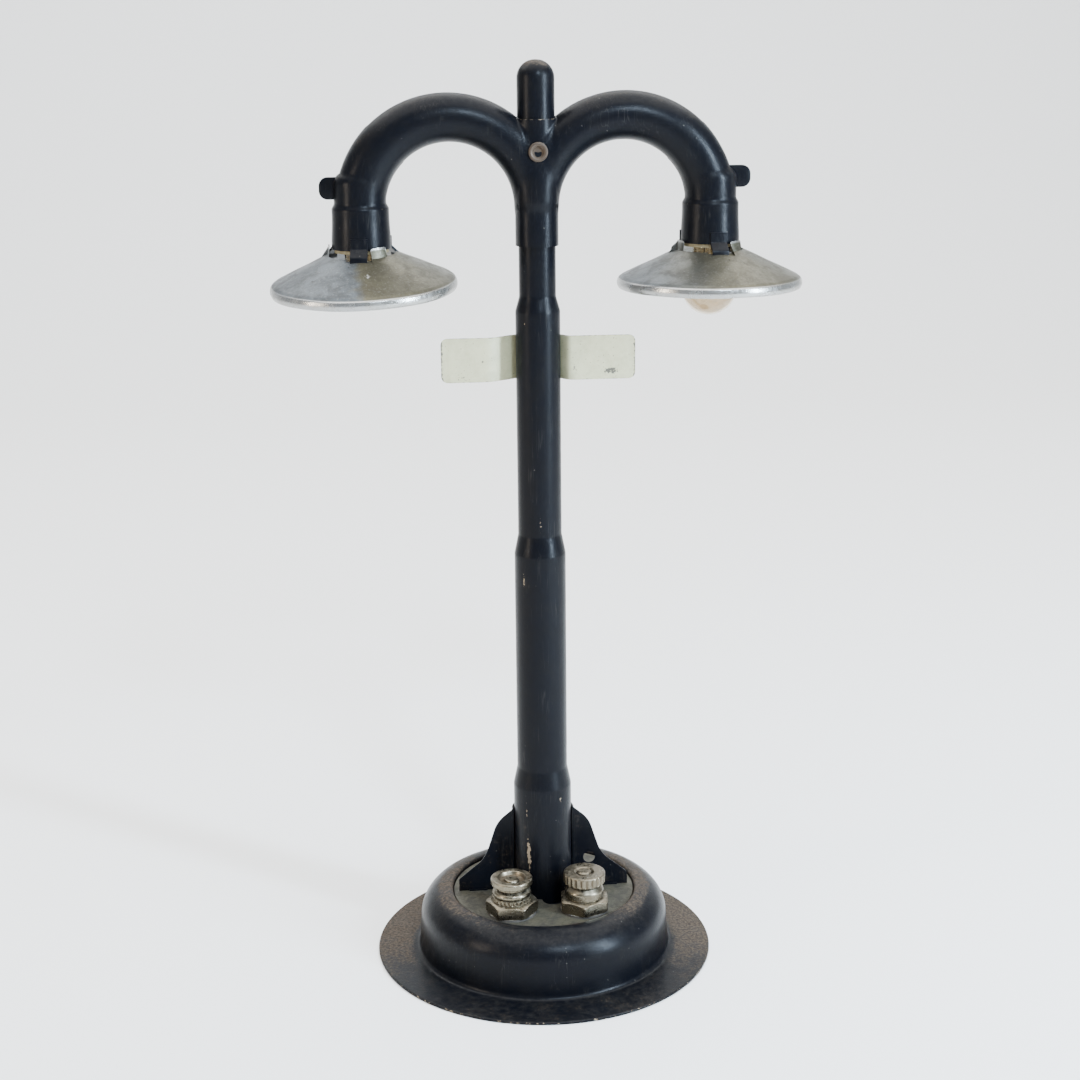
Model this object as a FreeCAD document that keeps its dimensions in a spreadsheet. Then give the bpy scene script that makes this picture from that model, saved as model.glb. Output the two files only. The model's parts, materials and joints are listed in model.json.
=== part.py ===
import FreeCAD, Part
import math
import os
import Sketcher

# A model-railway street lamp post: a stamped round base with two binding posts, a swaged
# tube, a street sign, and a two-piece stamped head whose arms carry two miniature lamps
# under tin shades.  +Z is up, -Y is the front, the origin is the middle of the base's
# underside.  Every length is in millimetres and every angle in degrees.

SIZES = {
    # base shell
    "flange_radius": 46.9,
    "base_wall": 0.8,
    "foot_radius": 35.2,
    "foot_fillet": 1.3,
    "shoulder_radius": 34.1,
    "shoulder_round": 8.0,
    "base_height": 18.0,
    "recess_depth": 2.5,
    "lip_round": 0.9,
    # terminal plate and the fits around it
    "plate_radius": 25.2,
    "plate_thick": 1.5,
    "plate_gap": 0.3,
    "notch_across": 2.0,
    "notch_radius": 3.0,
    "notch_beyond": 0.45,
    # pole
    "foot_tube_radius": 7.95,
    "tube_step": 1.05,
    "tube_wall": 0.6,
    "foot_step_low": 49.1,
    "foot_step_high": 54.2,
    "middle_step_low": 115.4,
    "middle_step_high": 120.7,
    "top_step_drop": 26.9,
    "top_step_tall": 3.7,
    "step_round": 3.0,
    "finial_rise": 36.4,
    "close_gap": 0.15,
    "wire_slot_start": 5.4,
    "wire_slot_wide": 3.6,
    # foot bracket
    "bracket_thick": 0.9,
    "bracket_gap": 0.05,
    "bracket_half_width": 23.8,
    "bracket_toe_height": 3.6,
    "bracket_shoulder_out": 16.4,
    "bracket_shoulder_rise": 9.6,
    "bracket_top_out": 12.9,
    "bracket_top_rise": 20.4,
    "bracket_top_round": 9.0,
    "bracket_height": 24.4,
    "bracket_hole_out": 13.0,
    "bracket_hole_rise": 8.6,
    "bracket_hole_radius": 1.65,
    "tab_out": 18.4,
    "tab_wide": 5.0,
    "tab_foot": 3.4,
    "bracket_rivet_radius": 1.1,
    "bracket_rivet_rise": 7.0,
    "bracket_rivet_pitch": 11.0,
    # head
    "arm_radius": 22.5,
    "arm_centre_height": 207.6,
    "arm_flare": 0.2,
    "arm_end_inset": 1.1,
    "head_wall": 0.6,
    "collar_gap": 0.15,
    "collar_drop": 10.0,
    "collar_rise": 21.9,
    "knuckle_inset": 0.95,
    "knuckle_start": 1.7,
    "knuckle_rise": 9.4,
    "knuckle_round": 3.2,
    "cap_radius": 7.6,
    "cap_drop": 9.9,
    "cap_rise": 0.4,
    "ear_beyond": 10.3,
    "ear_tall": 5.6,
    "ear_round": 2.2,
    "left_ear_rise": 5.3,
    "right_ear_rise": 6.7,
    # shade tabs
    "shade_tab_wide": 4.4,
    "shade_tab_drop": 8.6,
    "shade_tab_pass": 0.75,
    "shade_tab_hook": 2.0,
    "hook_gap": 0.35,
    "tilted_hook_gap": 0.5,
    "right_tab_turn": 7.5,
    "left_tab_turn": -5.0,
    # eyelet
    "eyelet_rise": 13.9,
    "eyelet_barrel": 1.6,
    "eyelet_bore": 1.25,
    "eyelet_head": 2.5,
    "eyelet_head_thick": 0.7,
    # street sign
    "sign_half_length": 25.5,
    "sign_drop": 45.2,
    "sign_tall": 11.6,
    "sign_thick": 0.45,
    "sign_corner": 1.7,
    "sign_gap": 0.02,
    "sign_left_front": 1.2,
    "sign_right_front": 0.8,
    "sign_left_angle": 35.0,
    "sign_right_angle": 55.0,
    "sign_left_bend": 6.0,
    "sign_right_bend": 2.0,
    "sign_rivet_radius": 1.1,
    # shades
    "shade_rim_radius": 23.9,
    "shade_band": 2.5,
    "shade_wall": 0.5,
    "shade_step": 0.5,
    "shade_ring_gap": 1.2,
    "shade_cone_rise": 7.0,
    "shade_drop": 21.4,
    "petal_rise": 2.6,
    "petal_lean": 0.2,
    "petal_half_angle": 16.0,
    "petal_turn": 36.0,
    "notch_play": 1.1,
    "notch_deep": 1.45,
    "left_shade_lift": 0.6,
    "left_tilt_front": 4.4,
    "left_tilt_side": 1.9,
    # sockets
    "liner_gap": 0.1,
    "liner_drop": 10.8,
    "socket_play": 0.13,
    "socket_wall": 0.35,
    "socket_drop": 10.2,
    "socket_top_drop": 0.7,
    "disc_thick": 0.8,
    "disc_inset": 1.5,
    "leaf_thick": 0.3,
    "leaf_wide": 2.2,
    "leaf_half_length": 3.6,
    "contact_rivet_radius": 0.8,
    # bulbs
    "bulb_base_radius": 4.72,
    "bulb_base_wall": 0.25,
    "bulb_base_drop": 10.3,
    "bulb_base_tall": 8.0,
    "bulb_tip_drop": 0.6,
    "bulb_tip_radius": 2.1,
    "tip_collar_rise": 0.6,
    "glass_wall": 0.35,
    "cement_gap": 0.05,
    "right_glass_radius": 7.15,
    "right_glass_drop": 21.8,
    "left_glass_radius": 5.55,
    "left_glass_drop": 18.85,
    "bead_radius": 1.1,
    "bead_tall": 1.8,
    "filament_half": 2.3,
    "filament_radius": 0.22,
    "support_radius": 0.25,
    # binding posts
    "post_out": 10.0,
    "post_front": 14.5,
    "stud_radius": 2.08,
    "stud_head_radius": 3.6,
    "stud_head_thick": 1.8,
    "thread_gap": 0.06,
    "washer_radius": 5.2,
    "lower_washer_thick": 0.8,
    "lug_thick": 0.5,
    "lug_tail": 6.2,
    "lug_tail_wide": 4.8,
    "insulator_thick": 0.6,
    "insulator_radius": 6.6,
    "hex_across_flats": 12.7,
    "hex_thick": 3.4,
    "clamp_nut_thick": 3.5,
    "clamp_nut_radius": 5.35,
    "clamp_knurl_tall": 1.3,
    "wire_washer_thick": 0.55,
    "wire_washer_radius": 4.4,
    "face_gap": 0.05,
    "thumb_nut_radius": 5.75,
    "left_thumb_rim": 1.8,
    "right_thumb_rim": 2.8,
    "left_thumb_hub": 0.45,
    "right_thumb_hub": 0.15,
    "left_stud_rise": 10.0,
    "right_stud_rise": 11.3,
    "knurl_cut": 0.28,
    # wiring
    "wire_radius": 0.6,
    "wire_inset": 1.8,
}
LAMP_SIDES = {"left": -1, "right": 1}
TAB_TURNS = (0.0, 120.0, 240.0)
LEFT_KNURLS = 26
RIGHT_KNURLS = 22

Vector = FreeCAD.Vector
X_AXIS = Vector(1, 0, 0)
Y_AXIS = Vector(0, 1, 0)
Z_AXIS = Vector(0, 0, 1)

doc = FreeCAD.newDocument("street_lamp_post")
sheet = doc.addObject("Spreadsheet::Sheet", "sizes")
for row, (alias, number) in enumerate(SIZES.items(), start=1):
    sheet.set(f"A{row}", alias)
    sheet.set(f"B{row}", str(number))
    sheet.setAlias(f"B{row}", alias)
doc.recompute()

nodes = []


class Size:
    """A sheet value, or a sum or product of them: its number and its sheet expression."""

    def __init__(self, value, text):
        self.value = value
        self.text = text

    def __add__(self, other):
        other = as_size(other)
        return Size(self.value + other.value, f"({self.text} + {other.text})")

    def __radd__(self, other):
        return as_size(other) + self

    def __sub__(self, other):
        other = as_size(other)
        return Size(self.value - other.value, f"({self.text} - {other.text})")

    def __rsub__(self, other):
        return as_size(other) - self

    def __mul__(self, other):
        other = as_size(other)
        return Size(self.value * other.value, f"({self.text} * {other.text})")

    __rmul__ = __mul__

    def __neg__(self):
        return Size(-self.value, f"(0 - {self.text})")


class Sheet:
    """Reads the sheet: S.alias is the Size of the cell with that alias."""

    def __getattr__(self, alias):
        return Size(float(sheet.get(alias)), f"sizes.{alias}")


def as_size(item):
    """Returns item as a Size, whether it is one already or a plain number."""
    return item if isinstance(item, Size) else Size(float(item), repr(float(item)))


def number(item):
    """Returns the plain number of a Size or a number."""
    return as_size(item).value


S = Sheet()

# Levels and radii that several pieces share, worked out from the driving sizes.
FLOOR_TOP = S.base_height - S.recess_depth
FLOOR_UNDER = FLOOR_TOP - S.base_wall
PLATE_TOP = FLOOR_TOP + S.plate_thick
RECESS_RADIUS = S.plate_radius + S.plate_gap
POST_HOLE_RADIUS = S.stud_radius + 1.9
NOTCH_REACH = S.foot_tube_radius + S.notch_beyond
LOW_RIVET = PLATE_TOP + S.bracket_rivet_rise
HIGH_RIVET = LOW_RIVET + S.bracket_rivet_pitch
# Tube: three equal steps in, the last one below the head.
LOWER_TUBE = S.foot_tube_radius - S.tube_step
UPPER_TUBE = LOWER_TUBE - S.tube_step
TOP_TUBE = UPPER_TUBE - S.tube_step
ARM_LEVEL = S.arm_centre_height
TOP_STEP_LOW = ARM_LEVEL - S.top_step_drop
TOP_STEP_HIGH = TOP_STEP_LOW + S.top_step_tall
POLE_TOP = ARM_LEVEL + S.finial_rise
SIGN_LOW = ARM_LEVEL - S.sign_drop
SIGN_MIDDLE = SIGN_LOW + S.sign_tall * 0.5
# Head: every level is counted from the middle of the arms.
LAMP_OUT = S.arm_radius * 2
COLLAR_RADIUS = TOP_TUBE + S.head_wall + S.collar_gap
COLLAR_LOW = ARM_LEVEL - S.collar_drop
COLLAR_HIGH = ARM_LEVEL + S.collar_rise
WIRE_SLOT_LOW = ARM_LEVEL + S.wire_slot_start
WIRE_SLOT_HIGH = WIRE_SLOT_LOW + TOP_TUBE * 2
EYELET_HEIGHT = ARM_LEVEL + S.eyelet_rise
ARM_START = COLLAR_RADIUS + S.arm_flare
ARM_END = S.cap_radius - S.arm_end_inset
KNUCKLE_RADIUS = S.cap_radius - S.knuckle_inset
KNUCKLE_LOW = ARM_LEVEL + S.knuckle_start
KNUCKLE_HIGH = ARM_LEVEL + S.knuckle_rise
CAP_LOW = ARM_LEVEL - S.cap_drop
CAP_HIGH = ARM_LEVEL + S.cap_rise
CAP_BORE = S.cap_radius - S.head_wall
EAR_REACH = LAMP_OUT + S.ear_beyond
LEFT_EAR = ARM_LEVEL + S.left_ear_rise
RIGHT_EAR = ARM_LEVEL + S.right_ear_rise
# Shades: the ring clears the cap, and the tabs pass through just outside the ring.
SHADE_RING = S.cap_radius + S.shade_ring_gap
SHADE_LOW = ARM_LEVEL - S.shade_drop
RING_LEVEL = SHADE_LOW + S.shade_band + S.shade_cone_rise
TAB_LEAVE = ARM_LEVEL - S.shade_tab_drop
TAB_PASS = SHADE_RING + S.shade_tab_pass
# Sockets: from the bulb's cap outwards.
SOCKET_BORE = S.bulb_base_radius + S.socket_play
SOCKET_RADIUS = SOCKET_BORE + S.socket_wall
SOCKET_LOW = ARM_LEVEL - S.socket_drop
SOCKET_HIGH = ARM_LEVEL - S.socket_top_drop
LINER_RADIUS = CAP_BORE - 0.05
LINER_WALL = LINER_RADIUS - SOCKET_RADIUS - S.liner_gap
LINER_LOW = ARM_LEVEL - S.liner_drop
DISC_LOW = CAP_HIGH
DISC_RADIUS = S.cap_radius - S.disc_inset
BULB_BASE_LOW = ARM_LEVEL - S.bulb_base_drop
BULB_BASE_HIGH = BULB_BASE_LOW + S.bulb_base_tall
BULB_TIP_HIGH = ARM_LEVEL - S.bulb_tip_drop
RIGHT_GLASS = ARM_LEVEL - S.right_glass_drop
LEFT_GLASS = ARM_LEVEL - S.left_glass_drop
LEAF_LOW = BULB_TIP_HIGH + 0.15
BASE_BORE = S.bulb_base_radius - S.bulb_base_wall
NECK_RADIUS = BASE_BORE - S.cement_gap
TIP_LOW = BULB_BASE_HIGH + S.tip_collar_rise + S.close_gap
# Binding posts: each piece stands on the one below it.
HEX_LOW = PLATE_TOP + S.insulator_thick
CLAMP_LOW = HEX_LOW + S.hex_thick
WIRE_WASHER_LOW = CLAMP_LOW + S.clamp_nut_thick + S.face_gap
THUMB_LOW = WIRE_WASHER_LOW + S.wire_washer_thick + S.face_gap
LUG_HIGH = FLOOR_UNDER - S.lower_washer_thick
LUG_LOW = LUG_HIGH - S.lug_thick
NUT_BORE = S.stud_radius + S.thread_gap
LEFT_STUD_TOP = PLATE_TOP + S.left_stud_rise
RIGHT_STUD_TOP = PLATE_TOP + S.right_stud_rise


# ---------------------------------------------------------------- sketches and features


def new_body(label):
    """Starts a sub-part made of sketches and features."""
    body = doc.addObject("PartDesign::Body", label)
    body.Label = label
    nodes.append(body)
    return body


def sketch_on(body, role, name, lift=None):
    """Adds a sketch on one of the body's own planes, lifted along the plane's normal."""
    sketch = body.newObject("Sketcher::SketchObject", f"{body.Label}_{name}")
    plane = [item for item in body.Origin.OriginFeatures if item.Role == role][0]
    sketch.AttachmentSupport = [(plane, "")]
    sketch.MapMode = "FlatFace"
    if lift is not None:
        sketch.AttachmentOffset = FreeCAD.Placement(
            Vector(0, 0, number(lift)), FreeCAD.Rotation()
        )
        sketch.setExpression("AttachmentOffset.Base.z", as_size(lift).text)
    return sketch


def hold_datum(sketch, kind, *parts):
    """Adds a dimension whose value, the last part, is bound to the sheet."""
    size = as_size(parts[-1])
    index = sketch.addConstraint(Sketcher.Constraint(kind, *parts[:-1], size.value))
    sketch.setExpression(f"Constraints[{index}]", size.text)


def hold_point(sketch, item, end, across, up):
    """Fixes a point of the sketch at (across, up), on an axis where one is plainly 0."""
    if isinstance(across, Size) or across != 0:
        hold_datum(sketch, "DistanceX", -1, 1, item, end, across)
    else:
        sketch.addConstraint(Sketcher.Constraint("PointOnObject", item, end, -2))
    if isinstance(up, Size) or up != 0:
        hold_datum(sketch, "DistanceY", -1, 1, item, end, up)
    else:
        sketch.addConstraint(Sketcher.Constraint("PointOnObject", item, end, -1))


def corner_arc(before, corner, after, radius):
    """Works out the arc that rounds a corner: its two ends, centre and turn."""
    back = (before - corner).normalize()
    ahead = (after - corner).normalize()
    half = back.getAngle(ahead) / 2
    reach = radius / math.tan(half)
    middle = (back + ahead).normalize()
    centre = corner + middle * (radius / math.sin(half))
    turn = (-back).cross(ahead).z
    return corner + back * reach, corner + ahead * reach, centre, turn


def outline(sketch, corners):
    """Draws a closed outline: each corner is (across, up) or (across, up, radius)."""
    points = [Vector(number(item[0]), number(item[1]), 0) for item in corners]
    count = len(points)
    arcs = {}
    for index, item in enumerate(corners):
        if len(item) == 3:
            arcs[index] = corner_arc(
                points[index - 1], points[index], points[(index + 1) % count], number(item[2])
            )
    lines = []
    for index in range(count):
        after = (index + 1) % count
        start = arcs[index][1] if index in arcs else points[index]
        end = arcs[after][0] if after in arcs else points[after]
        lines.append(sketch.addGeometry(Part.LineSegment(start, end), False))
    for index, item in enumerate(corners):
        arriving = lines[index - 1]
        leaving = lines[index]
        if index not in arcs:
            sketch.addConstraint(Sketcher.Constraint("Coincident", arriving, 2, leaving, 1))
            hold_point(sketch, leaving, 1, item[0], item[1])
            continue
        start, end, centre, turn = arcs[index]
        ends = (start, end) if turn > 0 else (end, start)
        angles = [math.atan2(point.y - centre.y, point.x - centre.x) for point in ends]
        circle = Part.Circle(centre, Z_AXIS, number(item[2]))
        arc = sketch.addGeometry(Part.ArcOfCircle(circle, *angles), False)
        first, last = (1, 2) if turn > 0 else (2, 1)
        sketch.addConstraint(Sketcher.Constraint("Tangent", arriving, 2, arc, first))
        sketch.addConstraint(Sketcher.Constraint("Tangent", arc, last, leaving, 1))
        hold_datum(sketch, "Radius", arc, item[2])
        mark = sketch.addGeometry(Part.Point(points[index]), True)
        sketch.addConstraint(Sketcher.Constraint("PointOnObject", mark, 1, arriving))
        sketch.addConstraint(Sketcher.Constraint("PointOnObject", mark, 1, leaving))
        hold_point(sketch, mark, 1, item[0], item[1])


def circle(sketch, across, up, radius):
    """Draws a circle with its centre at (across, up)."""
    centre = Vector(number(across), number(up), 0)
    item = sketch.addGeometry(Part.Circle(centre, Z_AXIS, number(radius)), False)
    hold_point(sketch, item, 3, across, up)
    hold_datum(sketch, "Radius", item, radius)


def box_outline(sketch, left, right, low, high):
    """Draws a rectangle."""
    outline(sketch, [(left, low), (right, low), (right, high), (left, high)])


def pad(body, sketch, name, length, both=False, back=False):
    """Pads a sketch by a length, evenly both ways when both is set."""
    feature = body.newObject("PartDesign::Pad", f"{body.Label}_{name}")
    feature.Profile = sketch
    feature.Length = number(length)
    feature.setExpression("Length", as_size(length).text)
    feature.Midplane = both
    feature.Reversed = back
    body.Tip = feature
    return feature


def pocket(body, sketch, name, length, both=True, back=False):
    """Cuts a sketch's outline out of the body."""
    feature = body.newObject("PartDesign::Pocket", f"{body.Label}_{name}")
    feature.Profile = sketch
    feature.Length = number(length)
    feature.setExpression("Length", as_size(length).text)
    feature.Midplane = both
    feature.Reversed = back
    body.Tip = feature
    return feature


def revolution(body, sketch, name="turned", groove=False):
    """Turns a sketch once round its upright axis, adding or cutting."""
    kind = "PartDesign::Groove" if groove else "PartDesign::Revolution"
    feature = body.newObject(kind, f"{body.Label}_{name}")
    feature.Profile = sketch
    feature.ReferenceAxis = (sketch, ["V_Axis"])
    feature.Angle = 360
    body.Tip = feature
    return feature


def polar(body, feature, name, count):
    """Repeats a feature evenly about the body's upright axis."""
    pattern = body.newObject("PartDesign::PolarPattern", f"{body.Label}_{name}")
    axis = [item for item in body.Origin.OriginFeatures if item.Role == "Z_Axis"][0]
    pattern.Originals = [feature]
    pattern.Axis = (axis, [""])
    pattern.Angle = 360
    pattern.Occurrences = count
    body.Tip = pattern
    return pattern


def turned_body(label, corners, name="profile"):
    """Makes a body by turning one closed outline of (radius, height) corners."""
    body = new_body(label)
    sketch = sketch_on(body, "XZ_Plane", name)
    outline(sketch, corners)
    revolution(body, sketch)
    return body


def place(item, across=None, along=None, up=None):
    """Moves a sub-part to a place bound to the sheet."""
    for letter, size in (("x", across), ("y", along), ("z", up)):
        if size is not None:
            setattr(item.Placement.Base, letter, number(size))
            item.setExpression(f"Placement.Base.{letter}", as_size(size).text)


def ring_corners(inner, outer, low, high):
    """Gives the outline of a plain ring or washer."""
    return [(inner, low), (outer, low), (outer, high), (inner, high)]


# ---------------------------------------------------------------- shapes made in code


def feature(label, shape):
    """Adds a sub-part whose shape is worked out in code."""
    item = doc.addObject("Part::Feature", label)
    item.Label = label
    item.Shape = shape
    item.Placement = FreeCAD.Placement()
    nodes.append(item)
    return item


def upright(radius, low, high, across=0.0):
    """Gives an upright cylinder at (across, 0)."""
    return Part.makeCylinder(radius, high - low, Vector(across, 0, low), Z_AXIS)


def along_y(radius, start, end, across, height):
    """Gives a cylinder that runs along Y."""
    return Part.makeCylinder(radius, end - start, Vector(across, start, height), Y_AXIS)


def block(low, high):
    """Gives a box between two corners."""
    size = high - low
    return Part.makeBox(size.x, size.y, size.z, low)


def rounded_edges(points, radii, closed):
    """Gives the lines and arcs of a path whose corner i is rounded by radii[i]."""
    count = len(points)
    turns = range(count) if closed else range(1, count - 1)
    starts = list(points)
    ends = list(points)
    arcs = {}
    for index in turns:
        radius = radii[index]
        if radius <= 0:
            continue
        before = points[index - 1]
        after = points[(index + 1) % count]
        back = (before - points[index]).normalize()
        ahead = (after - points[index]).normalize()
        half = back.getAngle(ahead) / 2
        reach = radius / math.tan(half)
        inward = (back + ahead).normalize()
        centre = points[index] + inward * (radius / math.sin(half))
        starts[index] = points[index] + back * reach
        ends[index] = points[index] + ahead * reach
        arcs[index] = centre - inward * radius
    edges = []
    for index in range(count if closed else count - 1):
        after = (index + 1) % count
        edges.append(Part.LineSegment(ends[index], starts[after]).toShape())
        if after in arcs:
            edges.append(Part.Arc(starts[after], arcs[after], ends[after]).toShape())
    return edges


def strip_face(points, radii, thickness):
    """Gives the flat face of a strip of one thickness that follows a bent path."""
    half = thickness / 2
    sides = []
    for side in (1, -1):
        shifted = []
        rounds = []
        for index, point in enumerate(points):
            normals = []
            if index > 0:
                step = (point - points[index - 1]).normalize()
                normals.append(Z_AXIS.cross(step))
            if index < len(points) - 1:
                step = (points[index + 1] - point).normalize()
                normals.append(Z_AXIS.cross(step))
            normal = sum(normals, Vector()).normalize()
            stretch = half / normal.dot(normals[0])
            shifted.append(point + normal * (side * stretch))
            turn = normals[0].cross(normals[-1]).z
            rounds.append(radii[index] - side * half * (1 if turn > 0 else -1))
        sides.append((shifted, rounds))
    left_points, left_rounds = sides[0]
    right_points, right_rounds = sides[1]
    corners = left_points + right_points[::-1]
    rounds = [0] + left_rounds[1:-1] + [0, 0] + right_rounds[1:-1][::-1] + [0]
    return Part.Face(Part.Wire(rounded_edges(corners, rounds, True)))


def wire_solid(points, radii, radius):
    """Sweeps a round wire along straight runs joined by tangent arcs."""
    path = Part.Wire(rounded_edges(points, radii, False))
    direction = points[1] - points[0]
    section = Part.Wire(Part.Circle(points[0], direction, radius).toShape())
    solid = path.makePipeShell([section], True, True)
    expected = math.pi * radius**2 * path.Length
    print(f"wire: length {path.Length:.1f}, radii {radii}, volume ratio "
          f"{solid.Volume / expected:.3f}")
    return solid


def around(axis_x, turn):
    """Gives the placement that turns a shape about a lamp's upright axis."""
    spin = FreeCAD.Rotation(Z_AXIS, turn)
    return FreeCAD.Placement(Vector(axis_x, 0, 0), spin)


# ---------------------------------------------------------------- base


def make_base_shell():
    """Flange, domed wall, lip, and the recessed floor that carries the terminals."""
    body = new_body("base_shell")
    sketch = sketch_on(body, "XZ_Plane", "wall")
    wire_hole = S.foot_tube_radius - S.tube_wall - 0.6
    outline(sketch, [
        (S.flange_radius, 0),
        (S.flange_radius, S.base_wall),
        (S.foot_radius, S.base_wall, S.foot_fillet),
        (S.shoulder_radius, S.base_height, S.shoulder_round),
        (RECESS_RADIUS, S.base_height, S.lip_round),
        (RECESS_RADIUS, FLOOR_TOP),
        (wire_hole, FLOOR_TOP),
        (wire_hole, FLOOR_UNDER),
        (RECESS_RADIUS + S.base_wall, FLOOR_UNDER),
        (RECESS_RADIUS + S.base_wall, S.base_height - S.base_wall, S.lip_round - S.base_wall),
        (S.shoulder_radius - S.base_wall, S.base_height - S.base_wall,
         S.shoulder_round - S.base_wall),
        (S.foot_radius - S.base_wall, 0, S.foot_fillet + S.base_wall),
    ])
    revolution(body, sketch)
    holes = sketch_on(body, "XY_Plane", "holes", FLOOR_TOP)
    for side in LAMP_SIDES.values():
        circle(holes, S.post_out * side, -S.post_front, POST_HOLE_RADIUS)
    tab_slots(holes)
    pocket(body, holes, "openings", S.base_wall * 4)


def tab_slots(sketch):
    """Draws the two slots that the bracket's tabs drop through."""
    half_wide = S.tab_wide * 0.5 + S.close_gap
    half_thick = S.bracket_thick * 0.5 + S.close_gap
    for side in LAMP_SIDES.values():
        middle = S.tab_out * side
        box_outline(sketch, middle - half_wide, middle + half_wide, -half_thick, half_thick)


def make_terminal_plate():
    """Insulating disc in the recess, open for the pole, the studs and the tabs."""
    body = turned_body("terminal_plate", ring_corners(
        S.foot_tube_radius + S.close_gap, S.plate_radius, FLOOR_TOP, PLATE_TOP))
    holes = sketch_on(body, "XY_Plane", "holes", PLATE_TOP)
    for side in LAMP_SIDES.values():
        circle(holes, S.post_out * side, -S.post_front, S.stud_radius + S.close_gap)
    circle(holes, S.notch_across, -NOTCH_REACH, S.notch_radius)
    tab_slots(holes)
    pocket(body, holes, "openings", S.plate_thick * 4)


def make_foot_bracket():
    """Bell-shaped sheet that braces the pole, with a channel round the pole's back."""
    body = new_body("foot_bracket")
    low = PLATE_TOP
    tube = S.foot_tube_radius + S.bracket_gap
    wings = sketch_on(body, "XZ_Plane", "wings")
    outline(wings, [
        (-S.bracket_half_width, low),
        (S.bracket_half_width, low),
        (S.bracket_half_width, low + S.bracket_toe_height, S.bracket_toe_height * 0.6),
        (S.bracket_shoulder_out, low + S.bracket_shoulder_rise, S.bracket_shoulder_rise),
        (S.bracket_top_out, low + S.bracket_top_rise, S.bracket_top_round),
        (tube, low + S.bracket_height),
        (-tube, low + S.bracket_height),
        (-S.bracket_top_out, low + S.bracket_top_rise, S.bracket_top_round),
        (-S.bracket_shoulder_out, low + S.bracket_shoulder_rise, S.bracket_shoulder_rise),
        (-S.bracket_half_width, low + S.bracket_toe_height, S.bracket_toe_height * 0.3),
    ])
    pad(body, wings, "wing_pad", S.bracket_thick, both=True)
    channel = sketch_on(body, "XY_Plane", "channel", low)
    circle(channel, 0, 0, tube + S.bracket_thick)
    pad(body, channel, "channel_pad", S.bracket_height)
    front = sketch_on(body, "XY_Plane", "front", low)
    reach = tube + S.bracket_thick * 2
    box_outline(front, -reach, reach, -reach, -S.bracket_thick * 0.5)
    pocket(body, front, "front_cut", S.bracket_height * 3)
    bore = sketch_on(body, "XY_Plane", "bore", low)
    circle(bore, 0, 0, tube)
    pocket(body, bore, "bore_cut", S.bracket_height * 3)
    hole = sketch_on(body, "XZ_Plane", "hole")
    circle(hole, S.bracket_hole_out, low + S.bracket_hole_rise, S.bracket_hole_radius)
    for level in (LOW_RIVET, HIGH_RIVET):
        circle(hole, 0, level, S.bracket_rivet_radius + 0.05)
    pocket(body, hole, "hole_cut", tube * 3)
    tabs = sketch_on(body, "XY_Plane", "tabs", FLOOR_UNDER - S.bracket_thick)
    feet = sketch_on(body, "XY_Plane", "feet", FLOOR_UNDER - S.bracket_thick)
    half_thick = S.bracket_thick * 0.5
    for side in LAMP_SIDES.values():
        left = S.tab_out * side - S.tab_wide * 0.5
        right = S.tab_out * side + S.tab_wide * 0.5
        box_outline(tabs, left, right, -half_thick, half_thick)
        box_outline(feet, left, right, -half_thick, half_thick + S.tab_foot)
    pad(body, tabs, "tab_pad", PLATE_TOP - FLOOR_UNDER + S.bracket_thick * 2)
    pad(body, feet, "foot_pad", S.bracket_thick)


def back_rivet(radius, bore, outside, height):
    """Gives a rivet through the pole's back wall and a sheet whose back is at outside."""
    head = 0.6
    inner_head = radius * 1.5
    seat = math.sqrt(bore**2 - inner_head**2) - 0.02
    inner = along_y(inner_head, seat - head, seat, 0, height)
    stem = along_y(radius, seat - 0.1, outside + 0.15, 0, height)
    outer = along_y(radius * 1.7, outside + 0.05, outside + 0.05 + head, 0, height)
    return inner.fuse([stem, outer]).removeSplitter()


def make_bracket_rivets():
    """Two round-headed rivets that hold the bracket's channel to the pole's back."""
    bore = number(S.foot_tube_radius - S.tube_wall)
    outside = number(S.foot_tube_radius + S.bracket_gap + S.bracket_thick)
    radius = number(S.bracket_rivet_radius)
    heights = (number(LOW_RIVET), number(HIGH_RIVET))
    rivets = [back_rivet(radius, bore, outside, height) for height in heights]
    feature("bracket_rivets", Part.makeCompound(rivets))


# ---------------------------------------------------------------- pole


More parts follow.
